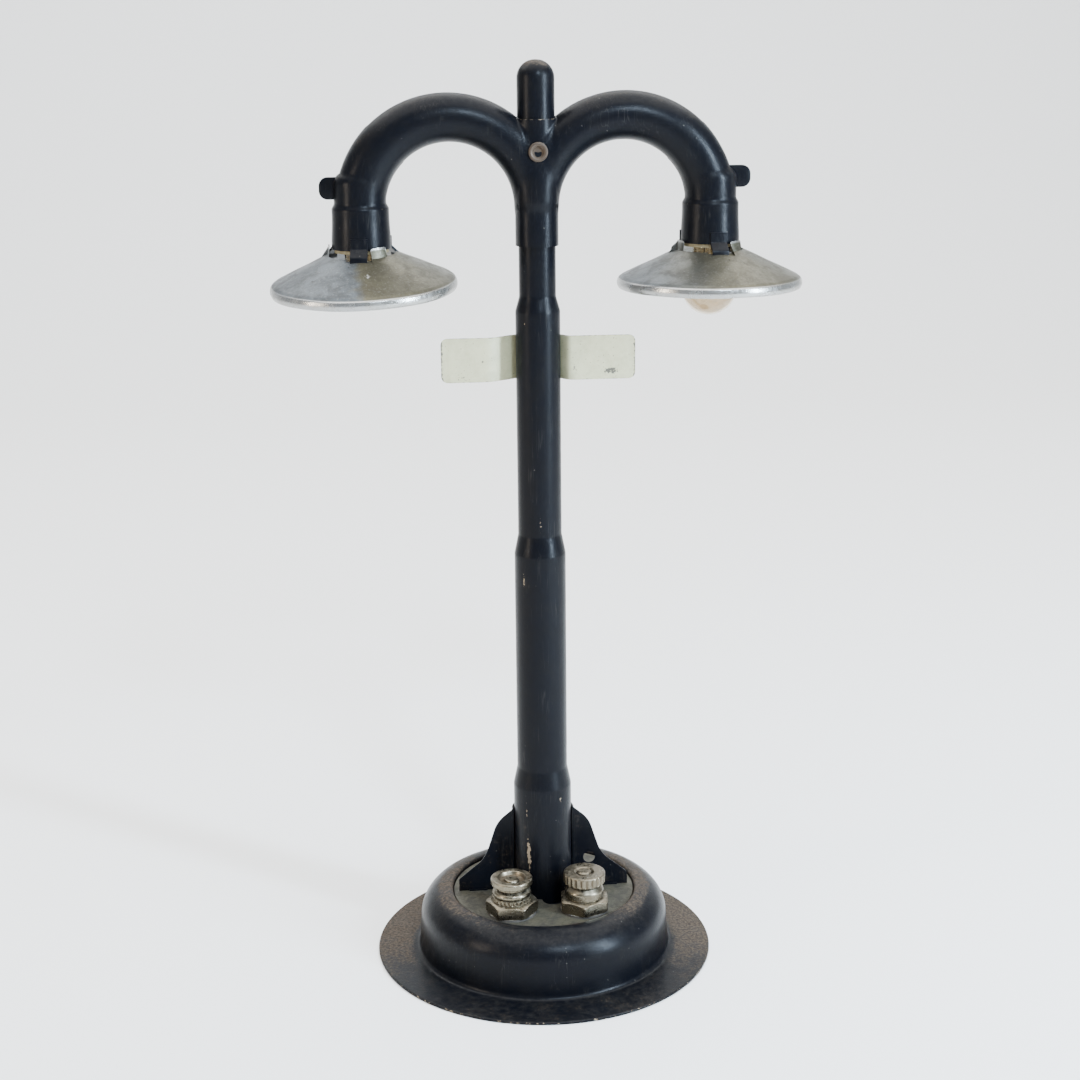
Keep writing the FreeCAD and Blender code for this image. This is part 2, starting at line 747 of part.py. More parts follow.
def make_pole_tube():
    """Swaged tube, widest at the foot, closed by its rounded top."""
    body = new_body("pole_tube")
    wall = S.tube_wall
    crown = 0.05
    steps = [
        (S.foot_tube_radius, S.foot_step_low),
        (LOWER_TUBE, S.foot_step_high),
        (LOWER_TUBE, S.middle_step_low),
        (UPPER_TUBE, S.middle_step_high),
        (UPPER_TUBE, TOP_STEP_LOW),
        (TOP_TUBE, TOP_STEP_HIGH),
    ]
    outer = [(radius, level, S.step_round) for radius, level in steps]
    inner = [(radius - wall, level, S.step_round) for radius, level in steps[::-1]]
    sketch = sketch_on(body, "XZ_Plane", "wall")
    outline(
        sketch,
        [(S.foot_tube_radius, FLOOR_TOP)]
        + outer
        + [(TOP_TUBE, POLE_TOP, TOP_TUBE - crown)]
        + [(0, POLE_TOP), (0, POLE_TOP - wall)]
        + [(TOP_TUBE - wall, POLE_TOP - wall, TOP_TUBE - wall - crown)]
        + inner
        + [(S.foot_tube_radius - wall, FLOOR_TOP)],
    )
    revolution(body, sketch)
    slots = sketch_on(body, "YZ_Plane", "slots")
    half = S.wire_slot_wide * 0.5
    box_outline(slots, -half, half, WIRE_SLOT_LOW, WIRE_SLOT_HIGH)
    pocket(body, slots, "slot_cut", TOP_TUBE * 4)
    cross = sketch_on(body, "XZ_Plane", "cross")
    circle(cross, 0, EYELET_HEIGHT, S.eyelet_barrel + 0.05)
    pocket(body, cross, "cross_cut", TOP_TUBE * 4)
    for name, radius, level in (
        ("sign_rivet", S.sign_rivet_radius, SIGN_MIDDLE),
        ("low_rivet", S.bracket_rivet_radius, LOW_RIVET),
        ("high_rivet", S.bracket_rivet_radius, HIGH_RIVET),
    ):
        hole = sketch_on(body, "XZ_Plane", f"{name}_hole")
        circle(hole, 0, level, radius + 0.05)
        pocket(body, hole, f"{name}_cut", S.foot_tube_radius * 2, both=False)


# ---------------------------------------------------------------- street sign


def make_street_sign():
    """Bent strip: two flat panels and a saddle round the pole's back."""
    thick = number(S.sign_thick)
    saddle = number(UPPER_TUBE + S.sign_gap) + thick / 2
    half = number(S.sign_half_length)
    left_y = -number(S.sign_left_front)
    right_y = -number(S.sign_right_front)
    left_angle = math.radians(number(S.sign_left_angle))
    right_angle = math.radians(number(S.sign_right_angle))
    # Each slanted run is a tangent of the saddle circle, so its distance from the pole's
    # axis is the saddle radius: x sin(a) + y cos(a) = saddle on the right, mirrored left.
    left_x = -(saddle - left_y * math.cos(left_angle)) / math.sin(left_angle)
    right_x = (saddle - right_y * math.cos(right_angle)) / math.sin(right_angle)
    apex_x = saddle * (math.cos(left_angle) - math.cos(right_angle))
    apex_x /= math.sin(left_angle + right_angle)
    apex_y = (saddle - apex_x * math.sin(right_angle)) / math.cos(right_angle)
    path = [Vector(-half, left_y, 0), Vector(left_x, left_y, 0), Vector(apex_x, apex_y, 0),
            Vector(right_x, right_y, 0), Vector(half, right_y, 0)]
    rounds = [0, number(S.sign_left_bend), saddle, number(S.sign_right_bend), 0]
    low = number(SIGN_LOW)
    face = strip_face(path, rounds, thick)
    face.translate(Vector(0, 0, low))
    strip = face.extrude(Vector(0, 0, number(S.sign_tall)))
    corners = []
    for edge in strip.Edges:
        box = edge.BoundBox
        if abs(abs(edge.CenterOfMass.x) - half) < 1e-4 and box.ZLength < 1e-4:
            corners.append(edge)
    strip = strip.makeFillet(number(S.sign_corner), corners)
    middle = number(SIGN_MIDDLE)
    hole = along_y(number(S.sign_rivet_radius) + 0.05, 0, saddle * 2, 0, middle)
    feature("street_sign", strip.cut(hole))


def make_sign_rivet():
    """Round-headed rivet through the sign's saddle and the pole's back wall."""
    bore = number(UPPER_TUBE - S.tube_wall)
    outside = number(UPPER_TUBE + S.sign_gap + S.sign_thick)
    radius = number(S.sign_rivet_radius)
    feature("sign_rivet", back_rivet(radius, bore, outside, number(SIGN_MIDDLE)))


# ---------------------------------------------------------------- head


def arm(side, inset):
    """Gives one arm as a solid, its tube narrowed by inset."""
    middle = number(S.arm_radius)
    level = number(S.arm_centre_height)
    start = Vector(0, 0, level)
    top = Vector(side * middle, 0, level + middle)
    end = Vector(side * 2 * middle, 0, level)
    path = Part.Wire(Part.Arc(start, top, end).toShape())
    sections = [
        Part.Wire(Part.Circle(start, Z_AXIS, number(ARM_START) - inset).toShape()),
        Part.Wire(Part.Circle(end, Z_AXIS, number(ARM_END) - inset).toShape()),
    ]
    return path.makePipeShell(sections, True, False)


def lamp_cap(side, inset):
    """Gives one knuckle, its shoulder and the socket cap below it, narrowed by inset."""
    axis = side * number(LAMP_OUT)
    cap = number(S.cap_radius) - inset
    knuckle = number(KNUCKLE_RADIUS) - inset
    low = number(CAP_LOW)
    shoulder = number(CAP_HIGH)
    neck = number(KNUCKLE_LOW)
    top = number(KNUCKLE_HIGH) - inset
    end_round = number(S.knuckle_round) - inset
    corners = [
        Vector(0, 0, low), Vector(cap, 0, low), Vector(cap, 0, shoulder),
        Vector(knuckle, 0, neck), Vector(knuckle, 0, top), Vector(0, 0, top),
    ]
    edges = rounded_edges(corners, [0, 0, 0.6, 0.6, end_round, 0], True)
    solid = Part.Face(Part.Wire(edges)).revolve(Vector(), Z_AXIS, 360)
    solid.translate(Vector(axis, 0, 0))
    return solid


def ear(side):
    """Gives the rounded clamping ear outside one knuckle."""
    wall = number(S.head_wall)
    height = number(RIGHT_EAR if side > 0 else LEFT_EAR)
    half = number(S.ear_tall) / 2
    inner = number(LAMP_OUT)
    reach = number(EAR_REACH)
    corner = number(S.ear_round)
    corners = [
        Vector(side * inner, 0, height - half), Vector(side * reach, 0, height - half),
        Vector(side * reach, 0, height + half), Vector(side * inner, 0, height + half),
    ]
    face = Part.Face(Part.Wire(rounded_edges(corners, [0, corner, corner, 0], True)))
    face.translate(Vector(0, -wall, 0))
    return face.extrude(Vector(0, 2 * wall, 0))


def cone_underside(radius):
    """Gives the level of the shade's underside at a radius, before any tilt."""
    slope = number(S.shade_cone_rise) / number(S.shade_rim_radius - S.shade_step
                                               - SHADE_RING)
    wall = number(S.shade_wall) * math.hypot(1, slope)
    return number(RING_LEVEL) - (radius - number(SHADE_RING)) * slope - wall


def shade_shift(side, turn, radius):
    """Gives how far a tilted shade lies above its level place, at a turn from the front."""
    if side > 0:
        return 0.0
    front = math.sin(math.radians(number(S.left_tilt_front)))
    left = math.sin(math.radians(number(S.left_tilt_side)))
    angle = math.radians(turn)
    drop = front * math.cos(angle) - left * math.sin(angle)
    return number(S.left_shade_lift) - drop * radius


def shade_tab(side, turn):
    """Gives one bent tab from the cap's edge, through the shade's notch and under it."""
    wall = number(S.head_wall)
    wide = number(S.shade_tab_wide)
    leave = number(TAB_LEAVE)
    root = number(S.cap_radius) - wall / 2
    bend = number(TAB_PASS)
    hook = bend + number(S.shade_tab_hook)
    below = number(S.hook_gap if side > 0 else S.tilted_hook_gap) + wall / 2
    bend_level = cone_underside(bend) - below + shade_shift(side, turn, bend)
    hook_level = cone_underside(hook) - below + shade_shift(side, turn, hook)
    points = [
        Vector(root, number(CAP_LOW) + 3.0, 0), Vector(root, leave - 0.9, 0),
        Vector(bend - 0.1, number(RING_LEVEL) + 0.4, 0), Vector(bend, bend_level, 0),
        Vector(hook, hook_level, 0),
    ]
    face = strip_face(points, [0, wall, wall, wall * 0.8, 0], wall)
    stand = FreeCAD.Rotation(X_AXIS, 90)
    face.Placement = FreeCAD.Placement(Vector(0, wide / 2, 0), stand)
    tab = face.extrude(Vector(0, -wide, 0))
    tab = Part.makeCompound([tab]).Solids[0]
    tab.Placement = around(side * number(LAMP_OUT), turn - 90).multiply(tab.Placement)
    return tab


def tab_start(side):
    """Gives the turn from the front of a lamp's first tab."""
    return number(S.right_tab_turn if side > 0 else S.left_tab_turn)


def head_quarter(side, front):
    """Gives the part of the head on one side and in one half, before its tabs."""
    wall = number(S.head_wall)
    low = number(CAP_LOW)
    axis = side * number(LAMP_OUT)
    collar = upright(number(COLLAR_RADIUS), number(COLLAR_LOW), number(COLLAR_HIGH))
    bore = upright(number(TOP_TUBE) + 0.1, number(COLLAR_LOW) - 1, number(POLE_TOP))
    eyelet = along_y(number(S.eyelet_barrel) + 0.05, -20, 20, 0, number(EYELET_HEIGHT))
    mouth = upright(number(CAP_BORE), low - 1, low + 1, axis)
    outer = collar.fuse([arm(side, 0.0), lamp_cap(side, 0.0), ear(side)])
    inner = bore.fuse([arm(side, wall), lamp_cap(side, wall), mouth, eyelet])
    far = 80.0
    corner = Vector(min(0, side * far), -far if front else 0, low - 10)
    return outer.cut(inner).common(block(corner, corner + Vector(far, far, far)))


def make_head_shells():
    """Front and back stampings: collar, two arms, knuckles, caps, ears and shade tabs."""
    for label, front in (("head_front_shell", True), ("head_back_shell", False)):
        sides = []
        for side in LAMP_SIDES.values():
            tabs = []
            for step in TAB_TURNS:
                turn = tab_start(side) + step
                if (math.cos(math.radians(turn)) > 0) == front:
                    tabs.append(shade_tab(side, turn))
            sides.append(head_quarter(side, front).fuse(tabs))
        feature(label, sides[0].fuse(sides[1]))


def make_head_eyelet():
    """Hollow rivet that clamps both head shells through the pole."""
    # The heads clear the widest part of the arms below their upper edge.
    reach = math.asin(number(S.eyelet_rise + S.eyelet_head) / number(S.arm_radius))
    spread = max(0.0, number(ARM_END - ARM_START)) * reach / math.pi
    front = number(ARM_START) + spread + 0.1
    thick = number(S.eyelet_head_thick)
    level = number(EYELET_HEIGHT)
    radius = number(S.eyelet_head)
    barrel = along_y(number(S.eyelet_barrel), -front - thick, front + thick, 0, level)
    heads = [along_y(radius, -front - thick, -front, 0, level),
             along_y(radius, front, front + thick, 0, level)]
    bore = along_y(number(S.eyelet_bore), -20, 20, 0, level)
    body = barrel.fuse(heads).removeSplitter()
    rims = []
    for edge in body.Edges:
        on_end = abs(abs(edge.CenterOfMass.y) - front - thick) < 1e-4
        if on_end and abs(edge.Length - 2 * math.pi * radius) < 1e-3:
            rims.append(edge)
    body = body.makeFillet(thick * 0.7, rims)
    feature("head_eyelet", body.cut(bore))


# ---------------------------------------------------------------- lamps


def make_shade(name, side):
    """Tin shade: rolled band, cone, ring with notches and three upright petals."""
    body = new_body(f"{name}_shade")
    wall = S.shade_wall
    step = S.shade_step
    band_top = S.shade_band
    slope_wall = S.shade_wall * 1.11
    rim = S.shade_rim_radius
    ring_level = S.shade_band + S.shade_cone_rise
    sketch = sketch_on(body, "XZ_Plane", "wall")
    outline(sketch, [
        (rim, 0),
        (rim, band_top - step, 0.4),
        (rim - step, band_top, 0.4),
        (SHADE_RING, ring_level, 0.5),
        (SHADE_RING - S.petal_lean, ring_level + S.petal_rise),
        (SHADE_RING - S.petal_lean - wall, ring_level + S.petal_rise),
        (SHADE_RING - wall, ring_level - slope_wall * 0.5, 0.15),
        (rim - step - wall, band_top - slope_wall, 0.15),
        (rim - wall, band_top - step - slope_wall, 0.15),
        (rim - wall, 0),
    ])
    revolution(body, sketch)
    # Between the petals the upright collar is cut down to the ring.
    start = number(S.right_tab_turn if side > 0 else S.left_tab_turn)
    half = number(S.petal_half_angle)
    first = number(S.petal_turn) + half
    last = number(S.petal_turn) - half + 120
    reach = number(SHADE_RING) * 1.9
    cutter = sketch_on(body, "XY_Plane", "between_petals", ring_level + 0.1)
    points = [Vector()]
    for angle in (first, (first + last) / 2, last):
        turn = math.radians(start + angle - 90)
        points.append(Vector(reach * math.cos(turn), reach * math.sin(turn), 0))
    for index, point in enumerate(points):
        after = points[(index + 1) % len(points)]
        cutter.addGeometry(Part.LineSegment(point, after), False)
    for index in range(len(points)):
        after = (index + 1) % len(points)
        cutter.addConstraint(Sketcher.Constraint("Coincident", index, 2, after, 1))
    cutter.addConstraint(Sketcher.Constraint("Coincident", 0, 1, -1, 1))
    for index in (1, 2, 3):
        cutter.addConstraint(Sketcher.Constraint("DistanceX", -1, 1, index, 1,
                                                 points[index].x))
        cutter.addConstraint(Sketcher.Constraint("DistanceY", -1, 1, index, 1,
                                                 points[index].y))
    cut = pocket(body, cutter, "window", S.petal_rise * 2, both=False, back=True)
    polar(body, cut, "windows", len(TAB_TURNS))
    notch = sketch_on(body, "XY_Plane", "notch")
    turn = math.radians(start - 90)
    half_wide = number(S.shade_tab_wide) / 2 + number(S.notch_play)
    near = number(SHADE_RING) - 2.0
    far = number(SHADE_RING) + number(S.notch_deep)
    ahead = Vector(math.cos(turn), math.sin(turn), 0)
    aside = Vector(-ahead.y, ahead.x, 0)
    corners = [ahead * near - aside * half_wide, ahead * far - aside * half_wide,
               ahead * far + aside * half_wide, ahead * near + aside * half_wide]
    outline(notch, [(corner.x, corner.y) for corner in corners])
    cut = pocket(body, notch, "notch_cut", (ring_level + S.petal_rise) * 4)
    polar(body, cut, "notches", len(TAB_TURNS))
    # The tilt turns the shade about the middle of its ring.
    tilt = FreeCAD.Rotation()
    lift = 0.0
    if side < 0:
        tilt = FreeCAD.Rotation(X_AXIS, number(S.left_tilt_front)).multiply(
            FreeCAD.Rotation(Y_AXIS, -number(S.left_tilt_side)))
        lift = number(S.left_shade_lift)
    ring = Vector(0, 0, number(ring_level))
    base = Vector(side * number(LAMP_OUT), 0, number(RING_LEVEL) + lift) - tilt.multVec(ring)
    body.Placement = FreeCAD.Placement(base, tilt)


def make_socket(name, side):
    """Liner, threaded shell, fibre disc, contact leaf and its rivet, inside one cap."""
    across = LAMP_OUT * side
    liner = turned_body(f"{name}_socket_liner", ring_corners(
        LINER_RADIUS - LINER_WALL, LINER_RADIUS, LINER_LOW, DISC_LOW))
    shell = turned_body(f"{name}_socket_shell", [
        (SOCKET_BORE, SOCKET_LOW), (SOCKET_RADIUS, SOCKET_LOW),
        (SOCKET_RADIUS, SOCKET_HIGH), (SOCKET_BORE, SOCKET_HIGH)])
    disc = turned_body(f"{name}_socket_disc", ring_corners(
        S.contact_rivet_radius + 0.03, DISC_RADIUS, DISC_LOW, DISC_LOW + S.disc_thick))
    leaf = new_body(f"{name}_contact_leaf")
    strip = sketch_on(leaf, "XY_Plane", "strip", DISC_LOW - S.leaf_thick)
    half = S.leaf_wide * 0.5
    box_outline(strip, -S.leaf_half_length, S.leaf_half_length, -half, half)
    pad(leaf, strip, "strip_pad", S.leaf_thick)
    finger = sketch_on(leaf, "XZ_Plane", "finger")
    outline(finger, [
        (-S.leaf_half_length, DISC_LOW - S.leaf_thick), (S.leaf_half_length * 0.35, LEAF_LOW),
        (S.leaf_half_length * 0.35, LEAF_LOW + S.leaf_thick),
        (-S.leaf_half_length, DISC_LOW - S.leaf_thick * 0.5)])
    pad(leaf, finger, "finger_pad", S.leaf_wide, both=True)
    bore = sketch_on(leaf, "XY_Plane", "bore", DISC_LOW)
    circle(bore, 0, 0, S.contact_rivet_radius + 0.03)
    pocket(leaf, bore, "bore_cut", S.leaf_thick * 2)
    rivet_high = DISC_LOW + S.disc_thick
    rivet = turned_body(f"{name}_contact_rivet", [
        (0, DISC_LOW - S.leaf_thick), (S.contact_rivet_radius, DISC_LOW - S.leaf_thick),
        (S.contact_rivet_radius, rivet_high), (S.contact_rivet_radius * 2, rivet_high),
        (S.contact_rivet_radius * 2, rivet_high + 0.5), (0, rivet_high + 0.5)])
    for item in (liner, shell, disc, leaf, rivet):
        place(item, across=across)


def make_bulb(name, side):
    """Round miniature screw bulb: glass, base, insulated tip, bead and filament."""
    across = LAMP_OUT * side
    radius = S.right_glass_radius if side > 0 else S.left_glass_radius
    centre = RIGHT_GLASS if side > 0 else LEFT_GLASS
    neck_top = BULB_BASE_LOW + 2.4
    shells = []
    for label, inset in (("outer", 0), ("inner", S.glass_wall)):
        ball = doc.addObject("Part::Sphere", f"{name}_{label}_ball")
        ball.Radius = number(radius - inset)
        ball.setExpression("Radius", (radius - inset).text)
        place(ball, across=across, up=centre)
        neck = doc.addObject("Part::Cylinder", f"{name}_{label}_neck")
        neck.Radius = number(NECK_RADIUS - inset)
        neck.setExpression("Radius", (NECK_RADIUS - inset).text)
        extra = 0 if label == "outer" else 1
        neck.setExpression("Height", (neck_top - centre + extra).text)
        place(neck, across=across, up=centre)
        whole = doc.addObject("Part::Fuse", f"{name}_{label}_glass")
        whole.Base = ball
        whole.Tool = neck
        shells.append(whole)
    glass = doc.addObject("Part::Cut", f"{name}_bulb_glass")
    glass.Label = f"{name}_bulb_glass"
    glass.Base = shells[0]
    glass.Tool = shells[1]
    nodes.append(glass)
    pitch = (BULB_BASE_HIGH - BULB_BASE_LOW) * (1 / 6)
    # The rolled thread is a row of rounded rings, as deep as the real thread.
    corners = [(BASE_BORE, BULB_BASE_LOW), (S.bulb_base_radius, BULB_BASE_LOW)]
    for ring in range(1, 5):
        crest = BULB_BASE_LOW + pitch * ring
        corners.append((S.bulb_base_radius, crest, 0.12))
        corners.append((S.bulb_base_radius - 0.18, crest + pitch * 0.35, 0.12))
        corners.append((S.bulb_base_radius, crest + pitch * 0.7, 0.12))
    corners += [
        (S.bulb_base_radius, BULB_BASE_HIGH - 0.8),
        (S.bulb_tip_radius + 0.5, BULB_BASE_HIGH + S.tip_collar_rise),
        (S.bulb_tip_radius + 0.3, BULB_BASE_HIGH + S.tip_collar_rise - 0.25),
        (BASE_BORE, BULB_BASE_HIGH - 0.95),
    ]
    base = turned_body(f"{name}_bulb_base", corners)
    tip = turned_body(f"{name}_bulb_tip", [
        (0, TIP_LOW), (S.bulb_tip_radius, TIP_LOW),
        (S.bulb_tip_radius, BULB_TIP_HIGH, 0.4), (0, BULB_TIP_HIGH)])
    insulator_radius = S.bulb_tip_radius + 0.2
    insulator = turned_body(f"{name}_bulb_insulator", [
        (0, BULB_BASE_HIGH - 0.4), (insulator_radius, BULB_BASE_HIGH - 0.4),
        (insulator_radius, TIP_LOW), (0, TIP_LOW)])
    bead_level = centre + radius * 0.35 + 0.8
    bead_high = bead_level + S.bead_tall
    bead = turned_body(f"{name}_bulb_bead", [
        (0, bead_level), (S.bead_radius, bead_level, 0.4), (S.bead_radius, bead_high, 0.4),
        (0, bead_high)])
    for item in (base, tip, insulator, bead):
        place(item, across=across)
    middle = side * number(LAMP_OUT)
    half = number(S.filament_half)
    thick = number(S.support_radius)
    level = number(centre)
    bead_low = number(bead_level)
    beside = number(S.bead_radius) + thick + 0.02
    top = number(neck_top)
    filament = [Part.makeCylinder(number(S.filament_radius), 2 * half,
                                  Vector(middle - half, 0, level), X_AXIS)]
    for hand in (-1, 1):
        foot = Vector(middle + hand * half, 0, level)
        waist = Vector(middle + hand * beside, 0, bead_low)
        head = Vector(middle + hand * beside, 0, top)
        filament.append(wire_solid([foot, waist, head], [0, 1.0, 0], thick))
    feature(f"{name}_bulb_filament", filament[0].fuse(filament[1:]).removeSplitter())


# ---------------------------------------------------------------- binding posts


def knurled(body, radius, low, tall, count):
    """Cuts upright grooves round a nut's rim."""
    groove = sketch_on(body, "XY_Plane", "groove", low)
    half = radius * (math.pi / count * 0.55)
    outline(groove, [(radius - S.knurl_cut, 0), (radius + 0.2, -half), (radius + 0.2, half)])
    cut = pocket(body, groove, "groove_cut", tall, both=False, back=True)
    polar(body, cut, "grooves", count)


def make_post(name, side):
    """One binding post: stud, lug, washers, hex nut, clamp nut, wire washer, thumb nut."""
    across = S.post_out * side
    front = -S.post_front
    items = []
    stud_top = RIGHT_STUD_TOP if side > 0 else LEFT_STUD_TOP
    head_low = LUG_LOW - S.stud_head_thick
    items.append(turned_body(f"{name}_stud", [
        (0, head_low), (S.stud_head_radius, head_low, 0.8), (S.stud_head_radius, LUG_LOW),
        (S.stud_radius, LUG_LOW), (S.stud_radius, stud_top - 0.3), (S.stud_radius - 0.35,
        stud_top), (0, stud_top)]))
    lug = turned_body(f"{name}_lug", ring_corners(
        NUT_BORE, S.stud_head_radius + 0.6, LUG_LOW, LUG_HIGH))
    tail = sketch_on(lug, "XY_Plane", "tail", LUG_LOW)
    half = S.lug_tail_wide * 0.5
    box_outline(tail, -half, half, S.stud_radius + 0.6, S.lug_tail)
    pad(lug, tail, "tail_pad", S.lug_thick)
    items.append(lug)
    items.append(turned_body(f"{name}_lower_washer", ring_corners(
        NUT_BORE, S.washer_radius, LUG_HIGH, FLOOR_UNDER)))
    items.append(turned_body(f"{name}_insulator", ring_corners(
        NUT_BORE, S.insulator_radius, PLATE_TOP, HEX_LOW)))
    nut = new_body(f"{name}_hex_nut")
    hexagon = sketch_on(nut, "XY_Plane", "hexagon", HEX_LOW)
    spread = 0.5 / math.cos(math.pi / 6)
    turn = -5.0 if side < 0 else 25.0
    corners = []
    for step in range(6):
        angle = math.radians(turn + 60 * step)
        corners.append((S.hex_across_flats * (spread * math.cos(angle)),
                        S.hex_across_flats * (spread * math.sin(angle))))
    outline(hexagon, corners)
    pad(nut, hexagon, "hexagon_pad", S.hex_thick)
    bore = sketch_on(nut, "XY_Plane", "bore", HEX_LOW)
    circle(bore, 0, 0, NUT_BORE)
    pocket(nut, bore, "bore_cut", S.hex_thick * 4)
    crown = sketch_on(nut, "XZ_Plane", "crown")
    edge = S.hex_across_flats * 0.5
    outline(crown, [
        (edge - 0.35, CLAMP_LOW), (edge + 1.6, CLAMP_LOW - 0.95), (edge + 1.6, CLAMP_LOW)])
    revolution(nut, crown, "crown_cut", groove=True)
    items.append(nut)
    radius = S.clamp_nut_radius
    clamp_high = CLAMP_LOW + S.clamp_nut_thick
    items.append(turned_body(f"{name}_clamp_nut", [
        (NUT_BORE, CLAMP_LOW), (radius, CLAMP_LOW), (radius, clamp_high - 1.3, 1.0),
        (radius - 1.1, clamp_high, 0.4), (NUT_BORE, clamp_high)]))
    if side < 0:
        knurled(items[-1], radius, CLAMP_LOW, S.clamp_knurl_tall, LEFT_KNURLS)
    washer_high = WIRE_WASHER_LOW + S.wire_washer_thick
    items.append(turned_body(f"{name}_wire_washer", ring_corners(
        NUT_BORE + 0.05, S.wire_washer_radius, WIRE_WASHER_LOW, washer_high)))
    rim = S.thumb_nut_radius
    if side < 0:
        rim_low = THUMB_LOW + S.left_thumb_hub
        rim_high = rim_low + S.left_thumb_rim
        corners = [
            (NUT_BORE, THUMB_LOW), (rim - 1.0, THUMB_LOW), (rim - 1.0, rim_low),
            (rim, rim_low, 0.3), (rim, rim_high, 0.4), (rim - 1.9, rim_high, 0.3),
            (NUT_BORE + 1.0, rim_high - 0.5, 0.2), (NUT_BORE, rim_high - 0.5)]
    else:
        rim_low = THUMB_LOW + S.right_thumb_hub
        rim_high = rim_low + S.right_thumb_rim
        corners = [
            (NUT_BORE, THUMB_LOW), (rim - 1.3, THUMB_LOW), (rim - 1.3, rim_low),
            (rim, rim_low, 0.3), (rim, rim_high, 0.5), (NUT_BORE, rim_high)]
    items.append(turned_body(f"{name}_thumb_nut", corners))
    if side > 0:
        knurled(items[-1], rim, rim_low, S.right_thumb_rim, RIGHT_KNURLS)
    for item in items:
        place(item, across=across, along=front)


# ---------------------------------------------------------------- wiring


def make_lamp_wire(name, side):
    """Insulated lead from a socket contact, over the arm, down the pole to the left lug."""
    out = side * number(LAMP_OUT)
    inset = side * number(S.wire_inset)
    start = number(DISC_LOW + S.disc_thick) + 0.5
    radius = abs(out - inset) / 2
    level = number(S.arm_centre_height) + 2.4
    low = number(LUG_LOW) - (4.0 if side < 0 else 6.0)
    end = -number(S.post_out) + side * number(S.lug_tail_wide) * 0.25
    end_y = -number(S.post_front) + number(S.lug_tail) - 1.2
    arc_top = level + radius
    points = [
        Vector(out, 0, start), Vector(out, 0, arc_top), Vector(inset, 0, arc_top),
        Vector(inset, 0, low), Vector(end, end_y, low), Vector(end, end_y, number(LUG_LOW)),
    ]
    radii = [0, radius * 0.999, radius * 0.999, 2.2, 1.8, 0]
    feature(f"{name}_lamp_wire", wire_solid(points, radii, number(S.wire_radius)))


def make_ground_wire():
    """Short lead from the right lug to the underside of the base's floor."""
    across = number(S.post_out)
    along = -number(S.post_front) + number(S.lug_tail) - 1.2
    low = number(LUG_LOW)
    points = [
        Vector(across, along, low), Vector(across, along, low - 4.2),
        Vector(across + 3.4, along + 5.0, low - 4.2),
        Vector(across + 3.4, along + 5.0, number(FLOOR_UNDER)),
    ]
    feature("ground_wire", wire_solid(points, [0, 2.0, 2.0, 0], number(S.wire_radius)))


def check_and_export():
    """Stops on any failed object, then writes each sub-part to its own file."""
    for item in doc.Objects:
        if "Invalid" in item.State or "Error" in item.State:
            raise RuntimeError(f"{item.Label} did not compute: {item.State}")
    for item in nodes:
        if item.Shape.isNull() or not item.Shape.isValid() or not item.Shape.Solids:
            raise RuntimeError(f"{item.Label} has no valid solid")
    os.makedirs("parts", exist_ok=True)
    for item in nodes:
        item.Shape.exportStep(f"parts/{item.Label}.step")
        box = item.Shape.BoundBox
        print(f"{item.Label}: {len(item.Shape.Solids)} solid, {item.Shape.Volume:.1f} mm3, "
              f"z {box.ZMin:.2f} to {box.ZMax:.2f}")


make_base_shell()
make_terminal_plate()
make_foot_bracket()
make_bracket_rivets()
make_pole_tube()
make_street_sign()
make_sign_rivet()
make_head_shells()
make_head_eyelet()
for lamp_name, lamp_side in LAMP_SIDES.items():
    make_shade(lamp_name, lamp_side)
    make_socket(lamp_name, lamp_side)
    make_bulb(lamp_name, lamp_side)
    make_post(lamp_name, lamp_side)
    make_lamp_wire(lamp_name, lamp_side)
make_ground_wire()
doc.recompute()
check_and_export()
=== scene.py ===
"""Looks for a miniature street lamp post, built around its packed design.

Lengths are in millimetres until a mesh is made, in the design's own frame: +Z up the pole,
-Y towards the front, the origin in the middle of the base's underside.
"""

from __future__ import annotations

import json
import logging
import math
from dataclasses import dataclass, field
from enum import Enum

import bmesh
import bpy
import numpy as np
from mathutils import Matrix, Vector

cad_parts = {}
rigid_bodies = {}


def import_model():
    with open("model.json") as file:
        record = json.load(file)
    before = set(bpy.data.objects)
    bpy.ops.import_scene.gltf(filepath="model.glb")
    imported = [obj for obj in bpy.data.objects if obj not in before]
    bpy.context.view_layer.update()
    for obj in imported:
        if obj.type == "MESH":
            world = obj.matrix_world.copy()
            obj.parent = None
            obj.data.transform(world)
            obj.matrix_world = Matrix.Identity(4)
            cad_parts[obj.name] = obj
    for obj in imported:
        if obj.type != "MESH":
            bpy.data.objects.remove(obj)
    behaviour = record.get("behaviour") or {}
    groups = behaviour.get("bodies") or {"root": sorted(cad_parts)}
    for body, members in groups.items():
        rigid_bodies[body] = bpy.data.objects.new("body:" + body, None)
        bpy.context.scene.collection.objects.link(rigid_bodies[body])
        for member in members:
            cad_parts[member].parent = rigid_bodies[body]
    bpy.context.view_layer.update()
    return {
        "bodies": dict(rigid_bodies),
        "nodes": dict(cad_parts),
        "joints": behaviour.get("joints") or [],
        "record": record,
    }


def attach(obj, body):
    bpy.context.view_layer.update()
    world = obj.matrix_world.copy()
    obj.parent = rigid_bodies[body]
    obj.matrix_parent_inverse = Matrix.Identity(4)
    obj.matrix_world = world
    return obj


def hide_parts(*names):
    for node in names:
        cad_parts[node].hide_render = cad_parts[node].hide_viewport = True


LOG = logging.getLogger("lamp_post")
MM = 0.001
TAU = 2 * math.pi
# How the left shade hangs: degrees down in front and at its left, and its lift.
LEAN_FRONT, LEAN_LEFT, LEAN_LIFT = 4.4, 1.9, 0.6
Array = np.ndarray


